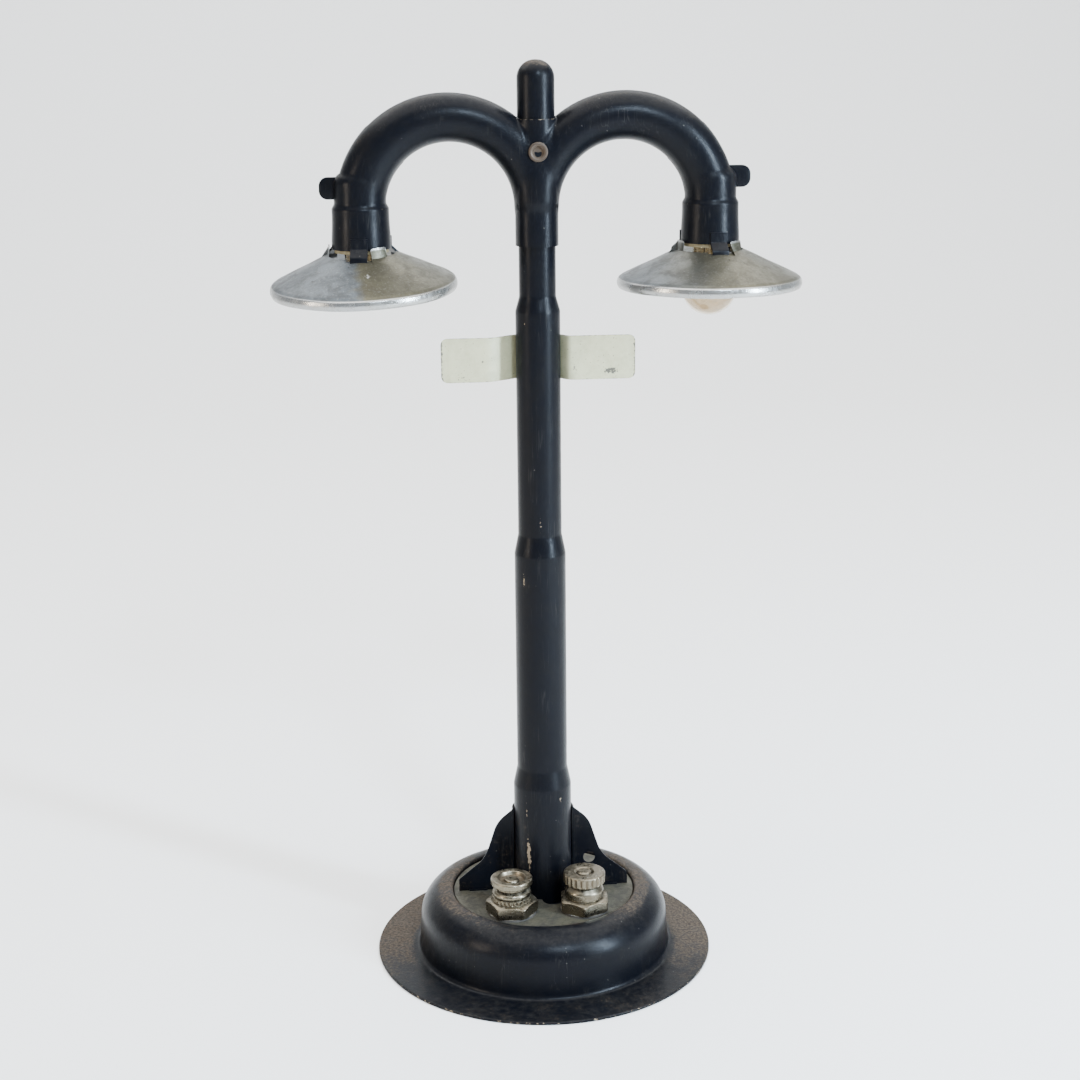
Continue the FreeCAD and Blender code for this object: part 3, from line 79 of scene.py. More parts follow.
class Side(Enum):
    """One hand of the lamp post, as someone facing its front sees it."""

    LEFT = -1
    RIGHT = 1

    @property
    def label(self) -> str:
        """The word that starts this side's node and body names."""
        return self.name.lower()

    @property
    def tab_turn(self) -> float:
        """The turn in degrees from the front of this lamp's first shade tab."""
        return 7.5 if self is Side.RIGHT else -5.0


# ------------------------------------------------------------------ shapes


def smoothstep(low: float, high: float, value: Array) -> Array:
    """Ramps from 0 at low to 1 at high by 3t^2 - 2t^3.

    Args:
        low: where the ramp starts.
        high: where it ends; it may be under low, which turns the ramp round.
        value: where to read it.

    Returns:
        The ramp at each value.
    """
    ratio = np.clip((np.asarray(value, float) - low) / (high - low), 0, 1)
    return ratio * ratio * (3 - 2 * ratio)


def smooth_max(first: Array, second: Array, blend: Array | float) -> Array:
    """Takes the larger of two heights, rounded by up to blend where they cross.

    Args:
        first: one height field.
        second: the other.
        blend: how far apart they stop affecting each other.

    Returns:
        max(a, b) plus blend/4 times the square of how nearly they are equal.
    """
    near = np.clip(1 - np.abs(first - second) / np.maximum(blend, 1e-6), 0, 1)
    return np.maximum(first, second) + near * near * blend / 4


def rounded_profile(corners: list[tuple], step: float = 0.35, closed: bool = False) -> Array:
    """Samples a path of straight runs whose corners are rounded by tangent arcs.

    Args:
        corners: (across, up) or (across, up, radius) for each corner in order.
        step: the longest distance between two samples.
        closed: whether the last corner joins the first.

    Returns:
        An (n, 2) array of points along the path.
    """
    points = np.array([corner[:2] for corner in corners], float)
    radii = [corner[2] if len(corner) > 2 else 0.0 for corner in corners]
    count = len(points)
    pieces = []
    for index in range(count):
        radius = radii[index]
        if radius <= 0 or (not closed and index in (0, count - 1)):
            pieces.append(points[index][None])
            continue
        back = points[index - 1] - points[index]
        ahead = points[(index + 1) % count] - points[index]
        back = back / np.linalg.norm(back)
        ahead = ahead / np.linalg.norm(ahead)
        half = math.acos(float(np.clip(back @ ahead, -1, 1))) / 2
        middle = (back + ahead) / np.linalg.norm(back + ahead)
        centre = points[index] + middle * radius / math.sin(half)
        start = points[index] + back * radius / math.tan(half) - centre
        sweep = math.pi - 2 * half
        turn = 1.0 if back[0] * ahead[1] - back[1] * ahead[0] < 0 else -1.0
        samples = max(4, int(sweep * radius / step) + 2, int(sweep / 0.2) + 2)
        angle = turn * np.linspace(0, sweep, samples)
        cos, sin = np.cos(angle), np.sin(angle)
        arc = np.stack([start[0] * cos - start[1] * sin, start[0] * sin + start[1] * cos], 1)
        pieces.append(centre + arc)
    path = np.concatenate(pieces + ([pieces[0][:1]] if closed else []))
    return resample(path, step)


def resample(path: Array, step: float) -> Array:
    """Adds points to a path so that no two are further apart than step.

    Args:
        path: an (n, k) array of points.
        step: the longest distance between two points.

    Returns:
        The denser path, which keeps every point of the first.
    """
    lengths = np.linalg.norm(np.diff(path, axis=0), axis=1)
    keep = np.concatenate([[True], lengths > 1e-6])
    path = path[keep]
    lengths = np.linalg.norm(np.diff(path, axis=0), axis=1)
    parts = [
        start + (end - start) * np.linspace(0, 1, max(1, int(math.ceil(length / step))),
                                            endpoint=False)[:, None]
        for start, end, length in zip(path[:-1], path[1:], lengths)
    ]
    return np.concatenate(parts + [path[-1:]])


def lathe(profile: Array, segments: int = 96) -> Array:
    """Turns a profile about the upright axis.

    Args:
        profile: (n, 2) radii and heights.
        segments: how many columns go round.

    Returns:
        An (n, segments, 3) grid: (r sin a, -r cos a, z), so that column 0 is at the front.
    """
    angle = np.linspace(0, TAU, segments, endpoint=False)
    radius = profile[:, :1]
    x = radius * np.sin(angle)
    y = -radius * np.cos(angle)
    z = np.broadcast_to(profile[:, 1:], x.shape)
    return np.stack([x, y, z], -1)


def tube(path: Array, radius: float | Array, segments: int = 12) -> Array:
    """Carries a circle along a path, turning it as little as possible.

    Args:
        path: (n, 3) points.
        radius: the tube's radius, or one per point.
        segments: how many columns go round.

    Returns:
        An (n, segments, 3) grid whose rows stand square to the path.
    """
    tangent = np.gradient(path, axis=0)
    tangent /= np.linalg.norm(tangent, axis=1, keepdims=True)
    reference = np.array([0.0, 1.0, 0.0]) if abs(tangent[0, 1]) < 0.8 else np.array([1.0, 0, 0])
    side = np.cross(tangent, reference)
    side /= np.linalg.norm(side, axis=1, keepdims=True)
    other = np.cross(tangent, side)
    angle = np.linspace(0, TAU, segments, endpoint=False)[None, :, None]
    size = np.broadcast_to(np.asarray(radius, float), len(path))[:, None, None]
    ring = side[:, None] * np.cos(angle) + other[:, None] * np.sin(angle)
    return path[:, None] + ring * size


@dataclass
class Skin:
    """Vertices and faces gathered from grids, with an edge and a worn value for each vertex that
    mark wear and, on some pieces, painted highlights and a painted reflection.
    """

    points: list[Array] = field(default_factory=list)
    faces: list[Array] = field(default_factory=list)
    edges: list[Array] = field(default_factory=list)
    worn: list[Array] = field(default_factory=list)
    total: int = 0

    def add(self, grid: Array, wrap: bool = False, edge: Array | float = 0.0,
            worn: Array | float = 0.0, flip: bool = False, caps: bool = False) -> None:
        """Adds a grid of points as quads.

        Args:
            grid: (rows, columns, 3) points in millimetres.
            wrap: whether the last column joins the first.
            edge: how near each point is to a worn edge, 0 to 1; it also marks painted highlights
                on the base's foot and on the shades' rim bands and petals.
            worn: how far the finish is worn off there, 0 to 1; on the base flange it also marks
                a painted reflection.
            flip: whether to turn the faces round.
            caps: whether to close the first and last row with a fan.
        """
        rows, columns = grid.shape[:2]
        index = np.arange(rows * columns).reshape(rows, columns) + self.total
        right = np.roll(index, -1, 1) if wrap else index[:, 1:]
        left = index if wrap else index[:, :-1]
        quads = np.stack([left[:-1], right[:-1], right[1:], left[1:]], -1).reshape(-1, 4)
        shape = (rows, columns)
        points = [grid.reshape(-1, 3)]
        edges = [np.broadcast_to(edge, shape).reshape(-1)]
        rubs = [np.broadcast_to(worn, shape).reshape(-1)]
        count = rows * columns
        if caps:
            for row, turned in ((0, True), (rows - 1, False)):
                points.append(grid[row].mean(0)[None])
                edges.append(edges[0].reshape(shape)[row, :1])
                rubs.append(rubs[0].reshape(shape)[row, :1])
                hub = np.full(columns, self.total + count)
                count += 1
                here, after = index[row], np.roll(index[row], -1)
                fan = [after, here, hub, hub] if turned else [here, after, hub, hub]
                quads = np.concatenate([quads, np.stack(fan, -1)])
        if flip:
            quads = quads[:, ::-1]
        self.points.append(np.concatenate(points))
        self.edges.append(np.concatenate(edges))
        self.worn.append(np.concatenate(rubs))
        self.faces.append(quads)
        self.total += count

    def build(self, name: str, weld: float = 0.002, smooth: float = 35.0) -> bpy.types.Object:
        """Makes the object, welds its seams and marks its sharp edges.

        Args:
            name: the piece's name.
            weld: the distance in millimetres under which points merge.
            smooth: the angle in degrees up to which faces shade as one.

        Returns:
            The finished object, at the origin, with its place in its mesh.
        """
        points = np.concatenate(self.points) * MM
        rows = np.concatenate(self.faces).tolist()
        faces = [row[:3] if row[2] == row[3] else row for row in rows]
        mesh = bpy.data.meshes.new(name)
        mesh.from_pydata(points, [], faces)
        for label, values in (("edge", self.edges), ("worn", self.worn)):
            layer = mesh.attributes.new(label, "FLOAT", "POINT")
            layer.data.foreach_set("value", np.concatenate(values).astype(np.float32))
        work = bmesh.new()
        work.from_mesh(mesh)
        bmesh.ops.remove_doubles(work, verts=work.verts, dist=weld * MM)
        bmesh.ops.dissolve_degenerate(work, edges=work.edges, dist=1e-8)
        work.to_mesh(mesh)
        work.free()
        return finish_mesh(name, mesh, smooth)


def finish_mesh(name: str, mesh: bpy.types.Mesh, smooth: float) -> bpy.types.Object:
    """Shades a mesh smooth up to an angle and puts it in the scene.

    Args:
        name: the object's name.
        mesh: its mesh.
        smooth: the angle in degrees up to which faces shade as one.

    Returns:
        The new object.
    """
    mesh.shade_smooth()
    mesh.set_sharp_from_angle(angle=math.radians(smooth))
    item = bpy.data.objects.new(name, mesh)
    bpy.context.scene.collection.objects.link(item)
    return item


def thicken(item: bpy.types.Object, wall: float, smooth: float = 35.0,
            outward: float = -1.0, even: bool = True) -> bpy.types.Object:
    """Gives an open surface its wall and keeps the result as a plain mesh.

    Args:
        item: the open surface, its faces pointing outwards.
        wall: the thickness in millimetres.
        smooth: the angle in degrees up to which faces shade as one.
        outward: -1 for a wall that grows inwards, 0 for one evenly both ways.
        even: whether sharp turns keep the full wall; not for meshes with tight corners.

    Returns:
        The same object with its new mesh.
    """
    solid = item.modifiers.new("wall", "SOLIDIFY")
    solid.thickness = wall * MM
    solid.offset = outward
    solid.use_even_offset = even
    solid.thickness_clamp = 2
    return settle(item, smooth)


def settle(item: bpy.types.Object, smooth: float) -> bpy.types.Object:
    """Applies an object's modifiers and marks its sharp edges again.

    Args:
        item: the object.
        smooth: the angle in degrees up to which faces shade as one.

    Returns:
        The same object with its new mesh.
    """
    graph = bpy.context.evaluated_depsgraph_get()
    mesh = bpy.data.meshes.new_from_object(item.evaluated_get(graph))
    item.modifiers.clear()
    item.data = mesh
    mesh.shade_smooth()
    mesh.set_sharp_from_angle(angle=math.radians(smooth))
    return item


# ------------------------------------------------------------------ shader wiring


class Wiring:
    """Adds and joins nodes of one tree."""

    def __init__(self, tree: bpy.types.NodeTree) -> None:
        """Keeps the tree."""
        self.tree = tree

    def node(self, kind: str, settings: dict | None = None, **inputs: object) -> bpy.types.Node:
        """Adds a node.

        Args:
            kind: its type without the ShaderNode prefix.
            settings: attributes to set on it.
            inputs: socket names, with _ for a space, to a value or another socket.

        Returns:
            The node.
        """
        made = self.tree.nodes.new("ShaderNode" + kind)
        for key, value in (settings or {}).items():
            setattr(made, key, value)
        for key, value in inputs.items():
            self.feed(made.inputs[key.replace("_", " ")], value)
        return made

    def feed(self, socket: bpy.types.NodeSocket, value: object) -> None:
        """Links a socket to another, or sets its value."""
        if isinstance(value, bpy.types.NodeSocket):
            self.tree.links.new(value, socket)
        elif socket.type == "RGBA" and len(value) == 3:
            socket.default_value = (*value, 1.0)
        else:
            socket.default_value = value

    def math(self, operation: str, first: object, second: object = 0.0) -> bpy.types.NodeSocket:
        """Adds a Math node and returns its output."""
        made = self.node("Math", {"operation": operation})
        self.feed(made.inputs[0], first)
        self.feed(made.inputs[1], second)
        return made.outputs[0]

    def mix(self, share: object, first: object, second: object) -> bpy.types.NodeSocket:
        """Adds a colour Mix node and returns its output."""
        made = self.node("Mix", {"data_type": "RGBA"})
        self.feed(made.inputs[0], share)
        self.feed(made.inputs[6], first)
        self.feed(made.inputs[7], second)
        return made.outputs[2]

    def coat(self, mask: object, amount: float, under: object,
             over: object) -> bpy.types.NodeSocket:
        """Lays one colour over another where a mask is set, at part of its strength."""
        return self.mix(self.math("MULTIPLY", mask, amount), under, over)

    def plus(self, value: object, part: object, amount: float) -> bpy.types.NodeSocket:
        """Adds a share of one value to another."""
        return self.math("ADD", value, self.math("MULTIPLY", part, amount))

    def ramp(self, value: object, low: object, high: object, start: float = 0.0,
             end: float = 1.0) -> bpy.types.NodeSocket:
        """Maps a value smoothly from low..high to start..end and returns the output."""
        made = self.node("MapRange", {"interpolation_type": "SMOOTHSTEP"}, Value=value)
        for name, number in (("From Min", low), ("From Max", high), ("To Min", start),
                             ("To Max", end)):
            self.feed(made.inputs[name], number)
        return made.outputs[0]

    def noise(self, vector: object, scale: object, detail: float = 4.0,
              roughness: float = 0.55, distortion: float = 0.0) -> bpy.types.NodeSocket:
        """Adds a Noise Texture and returns its value."""
        return self.node("TexNoise", None, Vector=vector, Scale=scale, Detail=detail,
                         Roughness=roughness, Distortion=distortion).outputs[0]

    def group(self, tree: bpy.types.NodeTree, **inputs: object) -> bpy.types.Node:
        """Places a node group."""
        made = self.tree.nodes.new("ShaderNodeGroup")
        made.node_tree = tree
        for key, value in inputs.items():
            self.feed(made.inputs[key.replace("_", " ")], value)
        return made


class EffectBox:
    """Starts a shader node group with named inputs and outputs."""

    def __init__(self, name: str, inputs: dict[str, float | None], outputs: list[str]) -> None:
        """Makes the group.

        Args:
            name: the group's name.
            inputs: socket names to default values; None makes a vector socket.
            outputs: names of value sockets.
        """
        self.tree = bpy.data.node_groups.new(name, "ShaderNodeTree")
        for label, value in inputs.items():
            kind = "NodeSocketVector" if value is None else "NodeSocketFloat"
            socket = self.tree.interface.new_socket(label, in_out="INPUT", socket_type=kind)
            if value is not None:
                socket.default_value = value
        for label in outputs:
            self.tree.interface.new_socket(label, in_out="OUTPUT", socket_type="NodeSocketFloat")
        self.wire = Wiring(self.tree)
        self.given = self.wire.tree.nodes.new("NodeGroupInput").outputs
        self.result = self.wire.tree.nodes.new("NodeGroupOutput").inputs


class Effects:
    """The shader node groups that several finishes share."""

    def __init__(self) -> None:
        """Builds every group once."""
        self.mottle = self._mottle()
        self.crackle = self._crackle()
        self.wear = self._wear()
        self.specks = self._specks()
        self.scratches = self._scratches()
        self.dust = self._dust()

    @staticmethod
    def _mottle() -> bpy.types.NodeTree:
        """Cloudy patches: two sizes of noise added and stretched in contrast."""
        box = EffectBox("Mottle", {"Vector": None, "Scale": 200.0, "Low": 0.35, "High": 0.65},
                        ["Mask"])
        wire = box.wire
        broad = wire.noise(box.given["Vector"], box.given["Scale"], 5.0, 0.6, 0.4)
        size = wire.math("MULTIPLY", box.given["Scale"], 4.3)
        fine = wire.noise(box.given["Vector"], size, 3.0, 0.6)
        both = wire.math("ADD", wire.math("MULTIPLY", broad, 0.7),
                         wire.math("MULTIPLY", fine, 0.3))
        mask = wire.ramp(both, box.given["Low"], box.given["High"])
        wire.feed(box.result["Mask"], mask)
        return box.tree

    @staticmethod
    def _crackle() -> bpy.types.NodeTree:
        """Orange peel and fine crazing: soft noise less the edges of small cells."""
        box = EffectBox("Crackle", {"Vector": None, "Scale": 1400.0, "Peel": 0.6, "Craze": 0.4},
                        ["Height", "Lines"])
        wire = box.wire
        warp = wire.noise(box.given["Vector"], wire.math("MULTIPLY", box.given["Scale"], 0.5))
        peel = wire.noise(box.given["Vector"], box.given["Scale"], 3.0, 0.6)
        cells = wire.node("TexVoronoi", {"feature": "DISTANCE_TO_EDGE"},
                          Vector=box.given["Vector"],
                          Scale=wire.math("MULTIPLY", box.given["Scale"], 0.62))
        line = wire.ramp(cells.outputs["Distance"], 0.0, 0.09, 1.0, 0.0)
        line = wire.math("MULTIPLY", line, wire.ramp(warp, 0.45, 0.62))
        height = wire.math("SUBTRACT", wire.math("MULTIPLY", peel, box.given["Peel"]),
                           wire.math("MULTIPLY", line, box.given["Craze"]))
        wire.feed(box.result["Height"], height)
        wire.feed(box.result["Lines"], line)
        return box.tree

    @staticmethod
    def _wear() -> bpy.types.NodeTree:
        """Ragged marks along the edge value, broken up by noise: worn edges, and on the base a
        painted highlight line.
        """
        box = EffectBox("Edge wear", {"Vector": None, "Edge": 0.0, "Scale": 900.0,
                                      "Amount": 0.5}, ["Mask"])
        wire = box.wire
        grain = wire.noise(box.given["Vector"], box.given["Scale"], 6.0, 0.65)
        swing = wire.math("MULTIPLY", wire.math("SUBTRACT", grain, 0.5), 1.5)
        level = wire.math("ADD", box.given["Edge"], swing)
        limit = wire.math("SUBTRACT", 1.0, box.given["Amount"])
        top = wire.math("ADD", limit, 0.14)
        mask = wire.ramp(level, limit, top)
        present = wire.ramp(box.given["Edge"], 0.02, 0.12)
        wire.feed(box.result["Mask"], wire.math("MULTIPLY", mask, present))
        return box.tree

    @staticmethod
    def _specks() -> bpy.types.NodeTree:
        """Scattered dots: the middles of some cells, picked by their random value."""
        box = EffectBox("Specks", {"Vector": None, "Scale": 700.0, "Share": 0.2, "Size": 0.3},
                        ["Mask"])
        wire = box.wire
        bent = wire.node("VectorMath", {"operation": "ADD"})
        jitter = wire.node("TexNoise", None, Vector=box.given["Vector"], Scale=2600.0)
        small = wire.node("VectorMath", {"operation": "SCALE"}, Scale=0.0006)
        wire.feed(small.inputs[0], jitter.outputs["Color"])
        wire.feed(bent.inputs[0], box.given["Vector"])
        wire.feed(bent.inputs[1], small.outputs[0])
        cells = wire.node("TexVoronoi", None, Vector=bent.outputs[0], Scale=box.given["Scale"])
        inner = wire.math("MULTIPLY", box.given["Size"], 0.55)
        dot = wire.ramp(cells.outputs["Distance"], inner, box.given["Size"], 1.0, 0.0)
        pick = wire.node("SeparateColor")
        wire.feed(pick.inputs[0], cells.outputs["Color"])
        chosen = wire.math("LESS_THAN", pick.outputs[0], box.given["Share"])
        wire.feed(box.result["Mask"], wire.math("MULTIPLY", dot, chosen))
        return box.tree

    @staticmethod
    def _scratches() -> bpy.types.NodeTree:
        """Fine upright scratches: noise drawn out along Z and cut to thin lines."""
        box = EffectBox("Scratches", {"Vector": None, "Scale": 900.0, "Share": 0.1}, ["Mask"])
        wire = box.wire
        drawn = wire.node("Mapping", None, Vector=box.given["Vector"], Scale=(1, 1, 0.05),
                          Rotation=(0.06, 0.04, 0.0))
        lines = wire.noise(drawn.outputs[0], box.given["Scale"], 2.0, 0.5)
        near = wire.math("ABSOLUTE", wire.math("SUBTRACT", lines, 0.5))
        thin = wire.ramp(near, 0.0, 0.02, 1.0, 0.0)
        patch = wire.noise(box.given["Vector"], 140.0, 3.0)
        limit = wire.math("SUBTRACT", 1.0, box.given["Share"])
        there = wire.ramp(patch, wire.math("MULTIPLY", limit, 0.62), limit)
        wire.feed(box.result["Mask"], wire.math("MULTIPLY", thin, there))
        return box.tree

    @staticmethod
    def _dust() -> bpy.types.NodeTree:
        """Settled dust: how far a surface faces up, times clumpy noise."""
        box = EffectBox("Dust", {"Vector": None, "Scale": 350.0, "Amount": 0.5}, ["Mask"])
        wire = box.wire
        normal = wire.node("NewGeometry").outputs["Normal"]
        facing = wire.node("SeparateXYZ", None, Vector=normal).outputs["Z"]
        up = wire.ramp(facing, 0.35, 0.98)
        clumps = wire.noise(box.given["Vector"], box.given["Scale"], 7.0, 0.7)
        cloud = wire.ramp(clumps, 0.38, 0.72)
        mask = wire.math("MULTIPLY", wire.math("MULTIPLY", up, cloud), box.given["Amount"])
        wire.feed(box.result["Mask"], mask)
        return box.tree


@dataclass
class Paint:
    """A material being made: its wiring, its shader and its object coordinates."""

    name: str

    def __post_init__(self) -> None:
        """Makes the material with an empty tree but for the shader and the output."""
        self.material = bpy.data.materials.new(self.name)
        self.material.use_nodes = True
        tree = self.material.node_tree
        tree.nodes.clear()
        self.wire = Wiring(tree)
        self.shader = self.wire.node("BsdfPrincipled")
        output = self.wire.node("OutputMaterial")
        tree.links.new(self.shader.outputs[0], output.inputs[0])
        self.place = self.wire.node("TexCoord").outputs["Object"]

    def attribute(self, label: str) -> bpy.types.NodeSocket:
        """Returns a vertex attribute's value."""
        made = self.wire.node("Attribute", {"attribute_name": label})
        return made.outputs["Fac"]

    def set(self, **inputs: object) -> None:
        """Sets or links inputs of the shader, with _ for a space."""
        for key, value in inputs.items():
            self.wire.feed(self.shader.inputs[key.replace("_", " ")], value)

    def mask(self, shared: bpy.types.NodeTree, **inputs: object) -> bpy.types.NodeSocket:
        """Lays a shared group on this paint and gives its first output.

        Args:
            shared: the node group.
            **inputs: a value or an output for each of its inputs.

        Returns:
            The group's first output.
        """
        return self.wire.group(shared, Vector=self.place, **inputs).outputs[0]

    def bump(self, height: object, distance: float, strength: float = 1.0) -> None:
        """Feeds a height through one Bump node to the shader's normal."""
        made = self.wire.node("Bump", None, Height=height, Distance=distance,
                              Strength=strength)
        self.set(Normal=made.outputs[0])


@dataclass(frozen=True)
class EnamelFinish:
    """Blue-black stoving enamel over sheet steel: peel, crazing, rubs, chips and dust; on the
    base the worn value also paints a brown reflection and the edge value a highlight line.
    """

    name: str = "black enamel"
    colour: tuple = (0.0021, 0.0026, 0.0043)
    warm: tuple = (0.0040, 0.0038, 0.0040)
    # Brown of worn enamel, and also of the painted reflection on the base flange.
    rubbed: tuple = (0.070, 0.053, 0.038)
    ground_in: tuple = (0.016, 0.013, 0.011)
    # Steel showing in chips, and the colour of the painted highlight line at the base dome's
    # foot.
    bare: tuple = (0.21, 0.165, 0.115)
    dusty: tuple = (0.15, 0.14, 0.12)
    roughness: float = 0.30
    edge_amount: float = 0.42
    dust_amount: float = 0.05
    peel_depth: float = 0.00008

    def make(self, effects: Effects) -> bpy.types.Material:
        """Builds the material.

        Args:
            effects: the shared node groups.

        Returns:
            The material.
        """
        paint = Paint(self.name)
        wire, place = paint.wire, paint.place
        edge, worn = paint.attribute("edge"), paint.attribute("worn")
        crackle = wire.group(effects.crackle, Vector=place, Scale=1700.0, Peel=0.45,
                             Craze=0.12)
        cloud = paint.mask(effects.mottle, Scale=150.0, Low=0.38, High=0.68)
        grain = wire.noise(place, 1300.0, 6.0, 0.72)
        colour = wire.coat(cloud, 0.5, self.colour, self.warm)
        loose = wire.math("MULTIPLY", wire.math("SUBTRACT", grain, 0.5), 1.1)
        drift = wire.math("MULTIPLY", wire.math("SUBTRACT", cloud, 0.5), 0.35)
        # The worn value gives brown wear; on the base flange it paints the brown reflection of
        # the surroundings at the sides and back, black in front.
        level = wire.math("ADD", worn, wire.math("ADD", loose, drift))
        rub_and_reflection = wire.math("MULTIPLY", wire.ramp(level, 0.12, 0.85), wire.ramp(worn, 0.0, 0.1))
        patina_and_reflection = wire.mix(wire.ramp(grain, 0.34, 0.66), self.ground_in, self.rubbed)
        colour = wire.mix(rub_and_reflection, colour, patina_and_reflection)
        # Chips of steel along the edge value; on the base this also paints a thin highlight line
        # at the dome's foot.
        chips_and_highlight = paint.mask(effects.wear, Edge=edge, Scale=1100.0, Amount=self.edge_amount)
        colour = wire.mix(chips_and_highlight, colour, self.bare)
        specks = paint.mask(effects.specks, Scale=620.0, Share=0.09, Size=0.13)
        colour = wire.coat(specks, 0.26, colour, self.dusty)
        scratch = paint.mask(effects.scratches, Scale=700.0, Share=0.30)
        colour = wire.coat(scratch, 0.07, colour, self.dusty)
        dust = paint.mask(effects.dust, Scale=700.0, Amount=self.dust_amount)
        colour = wire.mix(dust, colour, self.dusty)
        rough = wire.ramp(cloud, 0.0, 1.0, self.roughness - 0.02, self.roughness + 0.04)
        rough = wire.plus(rough, rub_and_reflection, 0.25)
        rough = wire.plus(rough, dust, 1.2)
        rough = wire.plus(rough, crackle.outputs["Lines"], 0.1)
        metal = wire.math("MULTIPLY", chips_and_highlight, 0.2)
        paint.set(Base_Color=colour, Roughness=rough, Metallic=metal)
        paint.shader.inputs["Specular IOR Level"].default_value = 0.09
        height = wire.math("SUBTRACT", crackle.outputs["Height"],
                           wire.math("MULTIPLY", wire.math("ADD", chips_and_highlight, rub_and_reflection), 0.3))
        paint.bump(height, self.peel_depth)
        return paint.material


@dataclass(frozen=True)
class TinFinish:
    """Aged tinplate: dull mottled face and brown specks, a painted reflection from bluish grey
    to warm olive along X, and a brighter rim that is part worn tin and part painted highlight.
    """

    name: str = "tin plate"
    # The painted reflection's two colours, and where along X, in metres, it turns from one to
    # the other.
    cool: tuple = (0.070, 0.082, 0.092)
    warm: tuple = (0.082, 0.077, 0.052)
    stain: tuple = (0.028, 0.023, 0.017)
    bright: tuple = (0.74, 0.74, 0.72)
    warm_from: float = 0.0
    warm_to: float = 0.012

    def make(self, effects: Effects) -> bpy.types.Material:
        """Builds the material.

        Args:
            effects: the shared node groups.

        Returns:
            The material.
        """
        paint = Paint(self.name)
        wire, place = paint.wire, paint.place
        edge, worn = paint.attribute("edge"), paint.attribute("worn")
        # Painted reflection: bluish grey on one side of the shade, warm olive on the other,
        # split along X and wavered by noise.
        across = wire.node("SeparateXYZ", None, Vector=place).outputs["X"]
        drift = wire.noise(place, 90.0, 3.0)
        bent = wire.plus(across, wire.math("SUBTRACT", drift, 0.5), 0.016)
        side = wire.ramp(bent, self.warm_from, self.warm_to)
        colour = wire.mix(side, self.cool, self.warm)
        patches = paint.mask(effects.mottle, Scale=230.0, Low=0.36, High=0.66)
        colour = wire.coat(patches, 0.45, colour, self.stain)
        grain = wire.noise(place, 1900.0, 5.0, 0.7)
        pale = wire.ramp(grain, 0.52, 0.72)
        colour = wire.coat(pale, 0.10, colour, self.bright)
        specks = paint.mask(effects.specks, Scale=560.0, Share=0.16, Size=0.2)
        colour = wire.coat(specks, 0.75, colour, self.stain)
        streak = paint.mask(effects.wear, Edge=worn, Scale=600.0, Amount=0.55)
        colour = wire.mix(streak, colour, self.bright)
        # Painted highlight in part: where the edge value is high, on the rim band and the petal
        # crests, the tin is brighter and smoother, as worn tin that also catches the light.
        shine = wire.ramp(edge, 0.2, 0.75)
        colour = wire.coat(shine, 0.36, colour, self.bright)
        rough = wire.ramp(patches, 0.0, 1.0, 0.34, 0.48)
        rough = wire.math("SUBTRACT", rough, wire.math("MULTIPLY", shine, 0.16))
        rough = wire.plus(rough, pale, 0.06)
        paint.set(Base_Color=colour, Roughness=rough, Metallic=0.88)
        height = wire.math("SUBTRACT", wire.math("MULTIPLY", grain, 0.5), specks)
        paint.bump(height, 0.00007)
        return paint.material


@dataclass(frozen=True)
class PlatedFinish:
    """Turned and plated metal: tarnish in the low places, fine turning marks."""

    name: str
    colour: tuple
    tarnish: tuple
    roughness: float = 0.26
    amount: float = 0.5
    metallic: float = 1.0

    def make(self, effects: Effects) -> bpy.types.Material:
        """Builds the material.

        Args:
            effects: the shared node groups.

        Returns:
            The material.
        """
        paint = Paint(self.name)
        wire, place = paint.wire, paint.place
        hollow = paint.attribute("worn")
        cloud = paint.mask(effects.mottle, Scale=420.0, Low=0.38, High=0.66)
        dirt = wire.math("ADD", wire.math("MULTIPLY", cloud, self.amount), hollow)
        dirt = wire.math("MINIMUM", dirt, 1.0)
        specks = paint.mask(effects.specks, Scale=1500.0, Share=0.16, Size=0.22)
        colour = wire.mix(dirt, self.colour, self.tarnish)
        colour = wire.coat(specks, 0.6, colour, self.tarnish)
        dust = paint.mask(effects.dust, Scale=900.0, Amount=0.35)
        colour = wire.mix(dust, colour, (0.22, 0.20, 0.16))
        rough = wire.math("ADD", self.roughness, wire.math("MULTIPLY", dirt, 0.24))
        rough = wire.plus(rough, dust, 0.5)
        metal = wire.math("MULTIPLY", wire.math("SUBTRACT", 1.0, dust), self.metallic)
        paint.set(Base_Color=colour, Roughness=rough, Metallic=metal)
        grain = wire.noise(place, 3200.0, 4.0, 0.7)
        paint.bump(wire.math("SUBTRACT", grain, specks), 0.00001)
        return paint.material


@dataclass(frozen=True)
class BoardFinish:
    """Dull non-metal such as fibre board, waxed paper or cloth."""

    name: str
    colour: tuple
    second: tuple
    dusty: tuple = (0.30, 0.28, 0.22)
    roughness: float = 0.75
    dust_amount: float = 0.5
    depth: float = 0.0001

    def make(self, effects: Effects) -> bpy.types.Material:
        """Builds the material.

        Args:
            effects: the shared node groups.

        Returns:
            The material.
        """
        paint = Paint(self.name)
        wire, place = paint.wire, paint.place
        cloud = paint.mask(effects.mottle, Scale=260.0, Low=0.34, High=0.66)
        colour = wire.mix(cloud, self.colour, self.second)
        specks = paint.mask(effects.specks, Scale=900.0, Share=0.2, Size=0.25)
        colour = wire.coat(specks, 0.5, colour, self.second)
        dust = paint.mask(effects.dust, Scale=500.0, Amount=self.dust_amount)
        colour = wire.mix(dust, colour, self.dusty)
        rough = wire.ramp(cloud, 0.0, 1.0, self.roughness - 0.08, self.roughness + 0.12)
        paint.set(Base_Color=colour, Roughness=rough)
        fibre = wire.noise(place, 1700.0, 6.0, 0.75)
        paint.bump(fibre, self.depth)
        return paint.material


